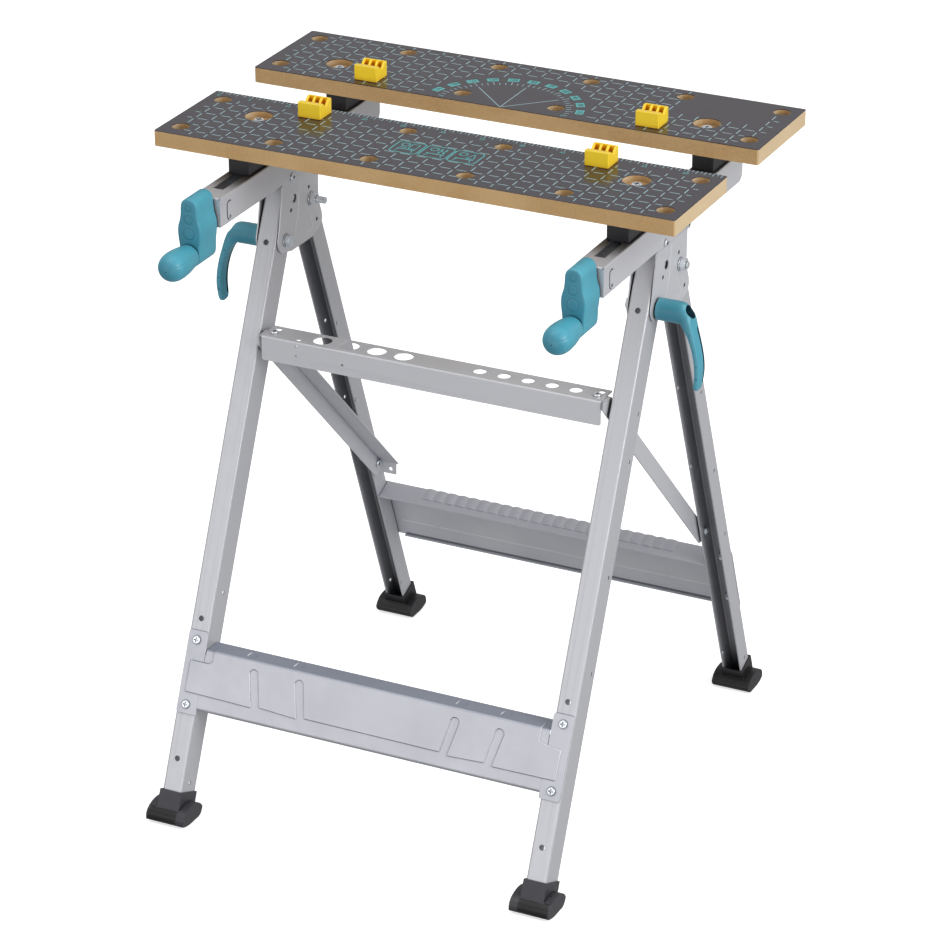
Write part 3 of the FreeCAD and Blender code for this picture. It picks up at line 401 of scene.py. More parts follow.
def smooth_path(points, steps, closed=False):
    """Catmull-Rom curve through the points, with steps samples between neighbours."""
    vectors = [Vector(p) for p in points]
    count = len(vectors)
    if closed:
        def at(i):
            return vectors[i % count]
        spans_count = count
    else:
        ends = [2 * vectors[0] - vectors[1]] + vectors + [2 * vectors[-1] - vectors[-2]]

        def at(i):
            return ends[i + 1]
        spans_count = count - 1
    out = []
    for i in range(spans_count):
        a, b, c, d = at(i - 1), at(i), at(i + 1), at(i + 2)
        for step in range(steps):
            t = step / steps
            out.append(0.5 * (2 * b + (c - a) * t + (2 * a - 5 * b + 4 * c - d) * t ** 2
                              + (3 * b - a - 3 * c + d) * t ** 3))
    if not closed:
        out.append(vectors[-1])
    return out


def inset(outline, distance):
    """Moves each point of a closed anticlockwise 2-D outline inwards."""
    count = len(outline)
    moved = []
    for i in range(count):
        along = (outline[(i + 1) % count] - outline[i - 1]).normalized()
        moved.append(outline[i] + Vector((-along.y, along.x)) * distance)
    return moved


def anticlockwise(outline):
    """The same closed outline, turned round if it runs clockwise."""
    area = sum(a.x * b.y - b.x * a.y for a, b in zip(outline, outline[1:] + outline[:1]))
    return outline[::-1] if area < 0 else outline


def flip_x(bm):
    for vertex in bm.verts:
        vertex.co.x = -vertex.co.x


def disc(bm, centre, radius, height, steps=32, edge=0.9):
    """Low round boss on a face that looks towards -Y, its sloping rim in the second material, a painted
    shade.
    """
    rings = []
    for r, y in ((radius, 0.0), (radius, height * 0.2), (radius - edge, height), (radius * 0.5, height)):
        rings.append([(centre[0] + r * math.cos(2 * math.pi * i / steps), centre[1] - y,
                       centre[2] + r * math.sin(2 * math.pi * i / steps)) for i in range(steps)])
    first = len(bm.faces)
    loft(bm, rings)
    bm.faces.ensure_lookup_table()
    for face in bm.faces[first:first + 2 * steps]:
        face.material_index = 1


# ------------------------------------------------------------------ crank arms and knobs

CRANK_FRONT, CRANK_BACK, CRANK_Z = -220.0, -180.5, 688.5
HALF_WIDTHS = ((0.0, 756.0), (5.6, 754.6), (9.2, 751.0), (10.5, 745.5), (10.9, 738.0), (12.0, 730.5),
               (14.3, 723.0), (15.0, 715.5), (14.4, 707.0), (13.3, 699.0), (13.0, 690.0), (12.2, 682.5),
               (9.2, 677.6), (5.0, 675.2))
KNOB = ((13.6, -222.4), (14.5, -227.0), (15.6, -233.5), (16.5, -240.5), (17.0, -247.5), (17.1, -254.0),
        (16.5, -260.5), (14.6, -266.2), (11.2, -270.6), (6.4, -273.4), (1.4, -274.4))
COLLAR = ((9.0, -220.9), (11.6, -221.0), (12.6, -221.4))
GATE_MARK = ((0.9, -274.4), (0.8, -273.0), (0.4, -273.0))
CRANK_DISCS = ((745.5, 4.0), (731.5, 5.5), (714.5, 7.2))
CRANK_DISC_HEIGHT = 0.3
FRONT_ROUND, BACK_ROUND = 2.6, 1.6
KNOB_STEPS, KNOB_TURN = 48, 25.0
SEAM_HALF_ANGLE, SEAM_DEPTH = 1.3, 0.22


def crank_arm(side):
    """Pear-shaped arm with rounded edges and a row of low discs on its front."""
    bm = bmesh.new()
    right = [Vector(p) for p in HALF_WIDTHS]
    left = [Vector((-p.x, p.y)) for p in right[:0:-1]]
    outline = anticlockwise(smooth_path(left + right + [Vector((0.0, 674.5))], 3, closed=True))
    rings = []
    for step in range(6):
        a = math.pi / 2 * step / 5
        rings.append((FRONT_ROUND * (1 - math.sin(a)), CRANK_FRONT + FRONT_ROUND * (1 - math.cos(a))))
    for step in range(5):
        a = math.pi / 2 * step / 4
        rings.append((BACK_ROUND * (1 - math.cos(a)), CRANK_BACK - BACK_ROUND * (1 - math.sin(a))))
    loft(bm, [[(p.x, y, p.y) for p in inset(outline, depth)] for depth, y in rings])
    for z, radius in CRANK_DISCS:
        disc(bm, (0, CRANK_FRONT, z), radius, CRANK_DISC_HEIGHT)
    bmesh.ops.translate(bm, verts=bm.verts, vec=(SIDE_X * MM, 0, 0))
    if side == "left":
        flip_x(bm)
    obj = add_object("crank_" + side, bm, teal, "crank_" + side, ("crank_arm_" + side,))
    obj.data.materials.append(teal_rim_shade)


def knob(side):
    """Egg-shaped handle with a parting line down both sides and a gate mark on its nose."""
    bm = bmesh.new()
    profile = smooth_path(KNOB, 4)
    turns = [(360 * i / KNOB_STEPS, 0.0) for i in range(KNOB_STEPS)]
    for seam in (0.0, 180.0):
        turns = [(a, d) for a, d in turns if abs(a - seam) > 0.1]
        turns += [(seam - SEAM_HALF_ANGLE, 0.0), (seam, SEAM_DEPTH), (seam + SEAM_HALF_ANGLE, 0.0)]
    turns.sort()
    rings = []
    for r, y in (*COLLAR, *(tuple(p) for p in profile), *GATE_MARK):
        ring = []
        for angle, dip in turns:
            a = math.radians(angle + KNOB_TURN)
            radius = max(r - (dip if r > 2 else 0), 0.2)
            ring.append((radius * math.cos(a), y, CRANK_Z + radius * math.sin(a)))
        rings.append(ring)
    loft(bm, rings)
    bmesh.ops.translate(bm, verts=bm.verts, vec=(SIDE_X * MM, 0, 0))
    if side == "left":
        bmesh.ops.translate(bm, verts=bm.verts, vec=(-2 * SIDE_X * MM, 0, 0))
    add_object("handle_" + side, bm, teal, "knob_" + side, ("crank_knob_" + side,),
               math.radians(50))


# ------------------------------------------------------------------ clamp levers

HUB_Y, HUB_Z = -20.5, 637.8
# Along the lever: centre (X, Z), slope below horizontal, half thickness, half width, Y of the centre
LEVER_STATIONS = (
    (17.2, 637.8, 0, 13.0, 13.0, -20.5), (30.0, 637.8, 0, 13.0, 13.0, -20.5),
    (40.0, 637.8, 4, 13.0, 13.0, -20.6), (46.5, 637.0, 16, 12.6, 12.9, -21.0),
    (51.6, 633.8, 36, 9.8, 12.5, -22.0), (55.8, 627.5, 54, 6.6, 11.8, -23.2),
    (59.8, 618.5, 65, 4.6, 11.0, -24.2), (64.0, 607.0, 71, 3.8, 10.6, -24.8),
    (67.2, 595.0, 78, 3.5, 10.4, -25.0), (69.2, 583.0, 84, 3.4, 10.2, -25.0),
    (69.8, 571.0, 90, 3.3, 10.0, -25.0), (68.8, 559.5, 95, 3.1, 9.4, -25.0),
    (68.1, 554.5, 97, 2.9, 8.6, -25.0), (67.7, 551.0, 97, 2.5, 6.8, -25.0),
    (67.5, 549.2, 97, 1.2, 3.4, -25.0),
)
# Points across a broad face, as shares of the half width; the groove lies between two of them
BROAD_FACE = (0.985, 0.95, 0.88, 0.80, 0.775, 0.43, 0.40, 0.2, -0.1, -0.4, -0.7, -0.88, -0.95, -0.985)
GROOVE_FROM, GROOVE_TO = 0.42, 0.79
GROOVE_WALLS = (3, 4, 5, 21, 22, 23)  # their places in a section's ring; they take the painted-shade teal
GROOVE_DEPTH, GROOVE_MAX_THICK, GROOVE_END_Z = 2.1, 4.6, 557
DOT_Y, DOT_RADIUS, DOT_HEIGHT = -34.6, 1.5, 0.9
DOT_PLACES = ((60.2, 617.5), (66.0, 599.0), (69.3, 581.0), (69.6, 566.0))
# Hollow in the knuckle: centre (X), tilt and (reach, radius) of its rings
MOUTH_X, MOUTH_TILT, MOUTH_STEPS = 44.5, math.radians(22), 40
MOUTH_RINGS = ((-1.0, 7.0), (8.5, 7.4), (12.0, 8.6), (30.0, 9.2))


def lever_section(half_thick, half_wide, groove):
    """Rounded section with a groove near the back edge of both broad faces."""
    flat = max(0.0, min(1.0, (10.0 - half_thick) / 5.0))
    power = 2.0 + 2.6 * flat
    points = []
    for face in (1, -1):
        shares = BROAD_FACE if face > 0 else BROAD_FACE[::-1]
        for share in shares:
            thick = half_thick * (1 - abs(share) ** power) ** (1 / power)
            if GROOVE_FROM < share < GROOVE_TO:
                thick -= groove
            points.append((share * half_wide, face * thick))
    return points


def lever_dots(side):
    """Row of small round bumps along the lever's front edge."""
    bm = bmesh.new()
    for x, z in DOT_PLACES:
        disc(bm, (SIDE_X + x, DOT_Y, z), DOT_RADIUS, DOT_HEIGHT, 12, 0.7)
    if side == "left":
        flip_x(bm)
    obj = add_object("lever_dots_" + side, bm, teal, "lever_" + side)
    obj.data.materials.append(teal_rim_shade)


def mouth_cutter(sign):
    """Tool that hollows the knuckle, its faces in the second material, which paints shade in the hollow."""
    bm = bmesh.new()
    rings = []
    for reach, radius in MOUTH_RINGS:
        ring = []
        for i in range(MOUTH_STEPS):
            a = 2 * math.pi * i / MOUTH_STEPS
            up = radius * math.sin(a)
            x = MOUTH_X + reach * math.cos(MOUTH_TILT) - up * math.sin(MOUTH_TILT)
            z = HUB_Z - 1.0 + reach * math.sin(MOUTH_TILT) + up * math.cos(MOUTH_TILT)
            ring.append((sign * (SIDE_X + x), HUB_Y - 0.6 + radius * math.cos(a), z))
        rings.append(ring)
    loft(bm, rings)
    bmesh.ops.recalc_face_normals(bm, faces=bm.faces)
    for face in bm.faces:
        face.material_index = 1
    mesh = bpy.data.meshes.new("cutter")
    bm.to_mesh(mesh)
    bm.free()
    mesh.materials.append(teal)
    mesh.materials.append(teal_hollow_shade)
    return link_object("cutter", mesh)


def cut_away(obj, tool):
    """Takes the tool's volume out of an object's mesh and removes the tool."""
    cut = obj.modifiers.new("mouth", "BOOLEAN")
    cut.object = tool
    cut.operation = "DIFFERENCE"
    cut.solver = "EXACT"
    bpy.context.view_layer.update()
    result = bpy.data.meshes.new_from_object(obj.evaluated_get(bpy.context.evaluated_depsgraph_get()))
    obj.modifiers.remove(cut)
    old = obj.data
    obj.data = result
    bpy.data.meshes.remove(old)
    bpy.data.objects.remove(tool)


def lever(side):
    """Bent handle with a knuckle at its hub, grooved along both broad faces."""
    bm = bmesh.new()
    stations = smooth_path([Vector(s) for s in LEVER_STATIONS], 3)
    rings = []
    for x, z, slope, thick, wide, y in stations:
        groove = GROOVE_DEPTH if thick < GROOVE_MAX_THICK and z > GROOVE_END_Z else 0.0
        a = math.radians(slope)
        normal = (math.sin(a), math.cos(a))
        ring = []
        for across, out in lever_section(thick, wide, groove):
            ring.append((SIDE_X + x + normal[0] * out, y + across, z + normal[1] * out))
        rings.append(ring)
    loft(bm, rings)
    bm.faces.ensure_lookup_table()
    count = len(rings[0])
    # Groove walls take the painted-shade teal
    for k in range(len(rings) - 1):
        if stations[k][3] < GROOVE_MAX_THICK and stations[k + 1][1] > GROOVE_END_Z:
            for i in GROOVE_WALLS:
                bm.faces[k * count + i].material_index = 1
    if side == "left":
        flip_x(bm)
    obj = add_object("lever_" + side, bm, teal, "lever_" + side, ("clamp_lever_" + side,),
                     math.radians(60))
    obj.data.materials.append(teal_hollow_shade)
    cut_away(obj, mouth_cutter(1 if side == "right" else -1))
    obj.data.set_sharp_from_angle(angle=math.radians(45))
    soft = obj.modifiers.new("bevel", "BEVEL")
    soft.width = 0.6 * MM
    soft.segments = 2
    soft.limit_method = "ANGLE"
    soft.angle_limit = math.radians(50)


for side in ("left", "right"):
    crank_arm(side)
    knob(side)
    lever_dots(side)
    lever(side)


# ------------------------------------------------------------------ pressed marks on the side beams

MARK_C = ((-152.7, 734.6), (-156.5, 735.8), (-160.3, 734.4), (-161.9, 731.0), (-161.6, 718.0),
          (-160.2, 714.8), (-157.4, 713.6))
GUSSET_BEADS = (
    ((17.9, 701.0), (14.5, 684.8), (12.4, 664.3), (5.0, 643.1), (1.5, 630.0)),
    ((34.4, 656.5), (40.5, 646.5), (45.6, 636.0), (45.0, 629.8), (39.0, 628.4), (31.7, 629.7)),
    ((66.8, 629.4), (60.5, 626.6), (53.0, 624.0)),
)
BEAM_HALF, GUSSET_HALF = 17.5, 15.0  # half widths of a beam over its marked faces
LOCK_Y, LOCK_Z = 3.0, 682.0
BEAD_FOOT = 0.2  # how deep a ridge stands in its face
TOOTH = 0.9


def bead(bm, path, x, width, height):
    """Low rounded ridge along a (Y, Z) path on a face that looks out along X."""
    points = smooth_path([Vector(p) for p in path], 4)
    rings = []
    for i, point in enumerate(points):
        ahead = points[min(i + 1, len(points) - 1)] - points[max(i - 1, 0)]
        side = Vector((-ahead.y, ahead.x)).normalized()
        taper = 0.35 if i in (0, len(points) - 1) else 1.0
        ring = []
        for step in range(7):
            a = math.pi * step / 6
            at = point + side * width / 2 * taper * math.cos(a)
            ring.append((x + height * taper * math.sin(a), at.x, at.y))
        for foot in (point - side * width / 2 * taper, point + side * width / 2 * taper):
            ring.append((x - BEAD_FOOT, foot.x, foot.y))
        rings.append(ring)
    loft(bm, rings)


def toothed_ring(bm, x, y, z, outer, inner, teeth):
    """Spring ring pressed into a gusset hole, its teeth pointing at the lock pin."""
    turn = [2 * math.pi * i / (teeth * 4) for i in range(teeth * 4)]
    rings = []
    for depth, rim in ((0.0, False), (0.0, True), (TOOTH, True), (TOOTH, False), (0.0, False)):
        ring = []
        for i, a in enumerate(turn):
            radius = outer if rim else (inner if i % 4 < 2 else inner + TOOTH)
            ring.append((x + depth, y + radius * math.cos(a), z + radius * math.sin(a)))
        rings.append(ring)
    loft(bm, rings, cap_start=False, cap_end=False)
    bmesh.ops.remove_doubles(bm, verts=bm.verts, dist=1e-7)


def beam_marks(bm, beam_face, gusset_face):
    """C-shaped mark with a small ring near the beam's front end, and the long beads of the gusset; the mark
    takes painted shade, the beads painted highlight.
    """
    bead(bm, MARK_C, beam_face, 1.6, 0.5)
    turn = [2 * math.pi * i / 8 for i in range(9)]
    bead(bm, [(-155.2 + 1.5 * math.cos(a), 716.4 + 1.5 * math.sin(a)) for a in turn], beam_face, 0.9, 0.4)
    first = len(bm.faces)
    for path in GUSSET_BEADS:
        bead(bm, path, gusset_face, 1.7, 0.4)
    # Gusset beads take the painted-highlight finish
    bm.faces.ensure_lookup_table()
    for face in bm.faces[first:]:
        face.material_index = 1


for side in ("left", "right"):
    marks_bm = bmesh.new()
    beam_marks(marks_bm, BEAM_HALF, GUSSET_HALF)
    flip_x(marks_bm)
    beam_marks(marks_bm, BEAM_HALF, GUSSET_HALF)
    bmesh.ops.translate(marks_bm, verts=marks_bm.verts, vec=(SIDE_X * MM, 0, 0))
    ring_bm = bmesh.new()
    toothed_ring(ring_bm, SIDE_X + GUSSET_HALF - 1.3, LOCK_Y, LOCK_Z, 5.45, 3.75, 8)
    if side == "left":
        flip_x(marks_bm)
        flip_x(ring_bm)
    # Beam marks in the painted-shade finish, gusset beads in the painted-highlight one
    marks_object = add_object("beam_marks_" + side, marks_bm, pressed_shade, "top")
    marks_object.data.materials.append(pressed_light)
    add_object("lock_ring_" + side, ring_bm, steel, "top")


# ------------------------------------------------------------------ rear crossbar crease and hem

REAR_LINE, REAR_SLOPE = 321.2, -0.3887
REAR_LEAN = math.atan(REAR_SLOPE)
REAR_UP = Vector((0.0, math.sin(REAR_LEAN), math.cos(REAR_LEAN)))
REAR_OUT = Vector((0.0, -math.cos(REAR_LEAN), math.sin(REAR_LEAN)))


def rear_strip(bm, half_length, z, profile):
    """Strip along the rear crossbar; profile points are (up the panel, out of it) from height z."""
    foot = Vector((0.0, REAR_LINE + REAR_SLOPE * z, z))
    rings = []
    for x in (-half_length + half_length * i / 12 for i in range(25)):
        ring = []
        for up, out in profile:
            point = foot + REAR_UP * up + REAR_OUT * out
            ring.append((x, point.y, point.z))
        rings.append(ring)
    loft(bm, rings)


CREASE_PROFILE = ((1.4, -0.3), (1.4, 0.0), (0.6, 0.45), (0.0, 0.6), (-0.6, 0.45), (-1.4, 0.0), (-1.4, -0.3))
HEM_PROFILE = ((0.6, 0.0), (0.0, 0.5), (-3.0, 0.9), (-6.0, 0.4), (-8.6, -1.2), (-9.6, -3.4), (-8.8, -4.0),
               (-7.6, -2.4), (-5.5, -1.0), (-3.0, -0.4), (0.0, -0.4))

crease = bmesh.new()
rear_strip(crease, 215.0, 150.0, CREASE_PROFILE)
# The crease bead takes the painted-highlight finish
add_object("rear_crease", crease, pressed_light, "rear_frame")
hem = bmesh.new()
rear_strip(hem, 213.0, 129.0, HEM_PROFILE)
# The hem takes the dark painted-shade finish
add_object("rear_hem", hem, hem_shade, "rear_frame")


# ------------------------------------------------------------------ front crossbar

LEG_SLOPE, LEG_LINE = 0.4355, -320.3
LEAN = math.atan(LEG_SLOPE)
PANEL_Z0, FOLD_R, FLANGE_TOP, FLANGE_DEPTH = 133.0, 3.0, 197.0, 25.0
UP = Vector((0.0, math.sin(LEAN), math.cos(LEAN)))
OUT = Vector((0.0, -math.cos(LEAN), math.sin(LEAN)))
SKIN = 1.5
PANEL_FOOT = Vector((0.0, LEG_LINE + LEG_SLOPE * PANEL_Z0, PANEL_Z0)) + OUT * SKIN
FOLD_ANGLE = math.pi / 2 - LEAN
FOLD_START = (FLANGE_TOP - FOLD_R - PANEL_FOOT.z + FOLD_R * math.sin(LEAN)) / math.cos(LEAN)
FOLD_LENGTH = FOLD_R * FOLD_ANGLE
FLANGE_START = FOLD_START + FOLD_LENGTH
LIP_R, LIP_ANGLE = 2.2, math.radians(62)
LIP, LIP_LENGTH = 7.0, LIP_R * LIP_ANGLE
# Emboss: walls whose outward side turns to the lower left are in shade, to the upper right lit
SHADE_BELOW, LIGHT_ABOVE = -0.25, 0.6
EAR_INNER, EAR_OUTER = 222.4, 248.8
PANEL_HALF, FLANGE_HALF = 222.6, 221.8
EMBOSS_LEFT, EMBOSS_WIDTH = -241.0, 480
BAY_RADIUS, FLANGE_BAY_RADIUS = 5.2, 5.4
# Bays from below: (X, Z) of the blind end and X of the mouth; bays from behind: X
PANEL_BAYS = (((-156.0, 183.0), -147.5), ((-96.0, 183.0), -87.5), ((105.5, 182.0), 97.5),
              ((162.5, 181.0), 154.5))
FLANGE_BAYS = (163.0, 106.0, -104.0, -165.5)


def folded(x, s, out):
    """Point of the bent sheet: s runs up the panel, over the fold and back along the flange."""
    if s < 0:
        centre = PANEL_FOOT - OUT * LIP_R
        a = min(-s / LIP_R, LIP_ANGLE)
        extra = max(0.0, -s - LIP_LENGTH)
        normal = OUT * math.cos(a) - UP * math.sin(a)
        along = -UP * math.cos(a) - OUT * math.sin(a)
        point = centre + normal * (LIP_R + out) + along * extra
    elif s <= FOLD_START:
        point = PANEL_FOOT + UP * s + OUT * out
    else:
        centre = PANEL_FOOT + UP * FOLD_START - OUT * FOLD_R
        a = min((s - FOLD_START) / FOLD_R, FOLD_ANGLE)
        extra = max(0.0, s - FOLD_START - FOLD_LENGTH)
        normal = OUT * math.cos(a) + UP * math.sin(a)
        along = UP * math.cos(a) - OUT * math.sin(a)
        point = centre + normal * (FOLD_R + out) + along * extra
    return Vector((x, point.y, point.z))


def folded_plate(bm, outline, low, high, slope=0.0):
    """Flat outline (X, s) raised from low to high, its walls leaning in by slope, bent round the folds."""
    flat = bmesh.new()
    base = anticlockwise([Vector(p) for p in outline])
    top = inset(base, slope) if slope else base
    under = [flat.verts.new((p.x, p.y, low)) for p in base]
    over = [flat.verts.new((p.x, p.y, high)) for p in top]
    flat.faces.new(over)
    flat.faces.new(under[::-1])
    for i in range(len(base)):
        j = (i + 1) % len(base)
        wall = flat.faces.new((under[i], under[j], over[j], over[i]))
        # Painted shade and painted highlight on the emboss walls, by their direction
        if slope:
            along = (base[j] - base[i]).normalized()
            toward = along.y * 0.8 - along.x * 0.6
            wall.material_index = 1 if toward < SHADE_BELOW else (2 if toward > LIGHT_ABOVE else 0)
    cuts = [FOLD_START + FOLD_LENGTH * i / 6 for i in range(7)]
    cuts += [-LIP_R * LIP_ANGLE * i / 4 for i in range(5)]
    cuts += [0.6, FOLD_START - 0.6, FLANGE_START + 0.6, -LIP_LENGTH - 0.6]
    for s in cuts:
        everything = flat.verts[:] + flat.edges[:] + flat.faces[:]
        bmesh.ops.bisect_plane(flat, geom=everything, plane_co=(0, s, 0), plane_no=(0, 1, 0), dist=1e-4)
    for face in flat.faces:
        s = face.calc_center_median().y
        face.smooth = FOLD_START < s < FLANGE_START or -LIP_LENGTH < s < 0
    for vertex in flat.verts:
        vertex.co = folded(vertex.co.x, vertex.co.y, vertex.co.z) * MM
    copy = bpy.data.meshes.new("plate")
    flat.to_mesh(copy)
    flat.free()
    bm.from_mesh(copy)
    bpy.data.meshes.remove(copy)


def panel_s(z):
    """Distance up the panel of a height."""
    return (z - PANEL_FOOT.z) / math.cos(LEAN)


def notch(top, foot, radius, steps=8):
    """U-shaped bay cut into an outline: up one side, round the blind end and down the other."""
    axis = (Vector(top) - Vector(foot)).normalized()
    side = Vector((-axis.y, axis.x))
    points = [Vector(foot) + side * radius]
    for i in range(steps + 1):
        a = math.pi * i / steps
        points.append(Vector(top) + side * radius * math.cos(a) + axis * radius * math.sin(a))
    points.append(Vector(foot) - side * radius)
    return points


def corner(x, s, radius, start, steps=4):
    """Rounded corner of an outline, turning 90 degrees from the start direction."""
    points = []
    for i in range(steps + 1):
        a = math.radians(start + 90 * i / steps)
        points.append(Vector((x + radius * math.cos(a), s + radius * math.sin(a))))
    return points


bar = bmesh.new()
step = panel_s(192.0)
flange_end = FLANGE_START + FLANGE_DEPTH - 3.2
folded_plate(bar, [(-PANEL_HALF, -LIP), (PANEL_HALF, -LIP), (PANEL_HALF, step), (FLANGE_HALF, step),
                   (FLANGE_HALF, flange_end), (-FLANGE_HALF, flange_end), (-FLANGE_HALF, step),
                   (-PANEL_HALF, step)], -SKIN, 0.0)
low, high = panel_s(124.5), panel_s(216.0)
for side in (-1, 1):
    ear = (corner(EAR_OUTER - 3, low + 3, 3, 270) + corner(EAR_OUTER - 3, high - 3, 3, 0)
           + corner(EAR_INNER + 4, high - 3, 3, 90) + corner(EAR_INNER + 2, low + 2, 2, 180))
    loops = []
    for out in (-SKIN, -0.25, 0.0):
        shrink = 0.25 if out == 0.0 else 0.0
        ring = []
        for p in inset(ear, shrink):
            q = PANEL_FOOT + UP * p.y + OUT * out
            ring.append((side * p.x, q.y, q.z))
        loops.append(ring if side > 0 else ring[::-1])
    loft(bar, loops)

bottom, right_bottom = panel_s(148.0), panel_s(145.5)
outline = [Vector((EMBOSS_LEFT, bottom))]
for top, foot in PANEL_BAYS:
    foot_s = bottom + (foot - EMBOSS_LEFT) / EMBOSS_WIDTH * (right_bottom - bottom)
    outline += notch((top[0], panel_s(top[1])), (foot, foot_s), BAY_RADIUS)
outline += corner(238.0, right_bottom + 1.5, 1.5, 270)
outline += corner(238.5, panel_s(179.0) - 2, 2, 0)
outline += [Vector((216.5, panel_s(182.0))), Vector((212.5, panel_s(184.5)))]
back = FLANGE_START + 15.5
outline += [Vector((212.0, back - 2)), Vector((210.0, back))]
for centre in FLANGE_BAYS:
    outline += notch((centre, back - 8.0), (centre + 0.5, back), FLANGE_BAY_RADIUS)
outline += [Vector((-210.0, back)), Vector((-212.0, back - 2)), Vector((-212.0, panel_s(186.0))),
            Vector((-216.0, panel_s(183.5)))]
outline += corner(-239.0, panel_s(183.5) - 2, 2, 90)
folded_plate(bar, outline, -0.4, 1.2, 1.0)
crossbar = add_object("crossbar_front", bar, pressed, "front_frame", ("front_crossbar",),
                      math.radians(20), shaded=True)
# Second and third materials: painted shade and painted highlight for the emboss walls
crossbar.data.materials.append(pressed_shade)
crossbar.data.materials.append(pressed_light)


# ------------------------------------------------------------------ printed graphics

PRINT_LOW, PRINT_HIGH = 799.98, 800.04
LINE = 1.15
DOG_HOLE, COUNTERBORE = 10.9, 16.9
HOLE_X = (-301.0, -180.5, -60.0, 60.0, 180.5, 301.0)
FRONT_HOLES = [(x, y, DOG_HOLE) for x in HOLE_X for y in (-120.0, -20.5)]
FRONT_HOLES += [(x, -51.0, COUNTERBORE) for x in (-237.0, 237.0)]
REAR_HOLES = [(x, y, DOG_HOLE) for x in HOLE_X for y in (121.0, 221.0)]
REAR_HOLES += [(x, 150.0, COUNTERBORE) for x in (-237.0, 237.0)]
SHORTEST_DASH = 0.8


class Print:
    """A layer of thin printed shapes on a worktop face, in millimetres."""

    def __init__(self, name, material, body, low=PRINT_LOW, high=PRINT_HIGH):
        self.bm = bmesh.new()
        self.name, self.material, self.body = name, material, body
        self.low, self.high = low, high

    def shape(self, points):
        under = [self.bm.verts.new((x * MM, y * MM, self.low * MM)) for x, y in points]
        over = [self.bm.verts.new((x * MM, y * MM, self.high * MM)) for x, y in points]
        self.bm.faces.new(over)
        self.bm.faces.new(under[::-1])
        for i in range(len(points)):
            j = (i + 1) % len(points)
            self.bm.faces.new((under[i], under[j], over[j], over[i]))

    def bar(self, x0, x1, y0, y1):
        self.shape([(x0, y0), (x1, y0), (x1, y1), (x0, y1)])

    def line(self, a, b, width=LINE):
        ax, ay, bx, by = *a, *b
        length = math.hypot(bx - ax, by - ay)
        nx, ny = -(by - ay) / length * width / 2, (bx - ax) / length * width / 2
        self.shape([(ax + nx, ay + ny), (ax - nx, ay - ny), (bx - nx, by - ny), (bx + nx, by + ny)])

    def outline(self, points, width=LINE):
        for a, b in zip(points, points[1:] + points[:1]):
            self.line(a, b, width)

    def text(self, words, x, y, size, angle=0.0, bold=0.0):
        curve = bpy.data.curves.new("digits", "FONT")
        curve.body = words
        curve.size = size * MM
        curve.align_x = "CENTER"
        curve.align_y = "CENTER"
        curve.extrude = (self.high - self.low) / 2 * MM
        curve.offset = bold * MM
        curve.resolution_u = 3
        temporary = bpy.data.objects.new("digits", curve)
        mesh = bpy.data.meshes.new_from_object(temporary)
        turn = Matrix.Rotation(angle, 4, "Z")
        place = Matrix.Translation((x * MM, y * MM, (self.low + self.high) / 2 * MM))
        mesh.transform(place @ turn)
        self.bm.from_mesh(mesh)
        bpy.data.objects.remove(temporary)
        bpy.data.curves.remove(curve)
        bpy.data.meshes.remove(mesh)

    def done(self):
        bmesh.ops.recalc_face_normals(self.bm, faces=self.bm.faces)
        mesh = bpy.data.meshes.new(self.name)
        self.bm.to_mesh(mesh)
        obj = link_object(self.name, mesh)
        mesh.materials.append(self.material)
        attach(obj, self.body)


def spans(low, high, at, holes, along_x):
    """The parts of a dash that lie outside every hole."""
    parts = [(low, high)]
    for hole_x, hole_y, radius in holes:
        along, across = (hole_x, hole_y) if along_x else (hole_y, hole_x)
        room = radius ** 2 - (at - across) ** 2
        if room <= 0:
            continue
        half = math.sqrt(room)
        kept = []
        for a, b in parts:
            if b <= along - half or a >= along + half:
                kept.append((a, b))
                continue
            kept.append((a, along - half))
            kept.append((along + half, b))
        parts = [(a, b) for a, b in kept if b - a > SHORTEST_DASH]
    return parts


def dash(layer, x, y, length, along_x, holes):
    """One grid dash centred on x, y."""
    centre, at = (x, y) if along_x else (y, x)
    for a, b in spans(centre - length / 2, centre + length / 2, at, holes, along_x):
        if along_x:
            layer.bar(a, b, at - LINE / 2, at + LINE / 2)
        else:
            layer.bar(at - LINE / 2, at + LINE / 2, a, b)


def circle(x, y, radius, start=0.0, sweep=360.0, steps=24):
    turn = [math.radians(start + sweep * i / steps) for i in range(steps + (sweep < 360))]
    return [(x + radius * math.cos(a), y + radius * math.sin(a)) for a in turn]


def rounded_square(x0, x1, y0, y1, radius):
    points = []
    for cx, cy, start in ((x1 - radius, y1 - radius, 0), (x0 + radius, y1 - radius, 90),
                          (x0 + radius, y0 + radius, 180), (x1 - radius, y0 + radius, 270)):
        points += circle(cx, cy, radius, start, 89.9, 5)
    return points


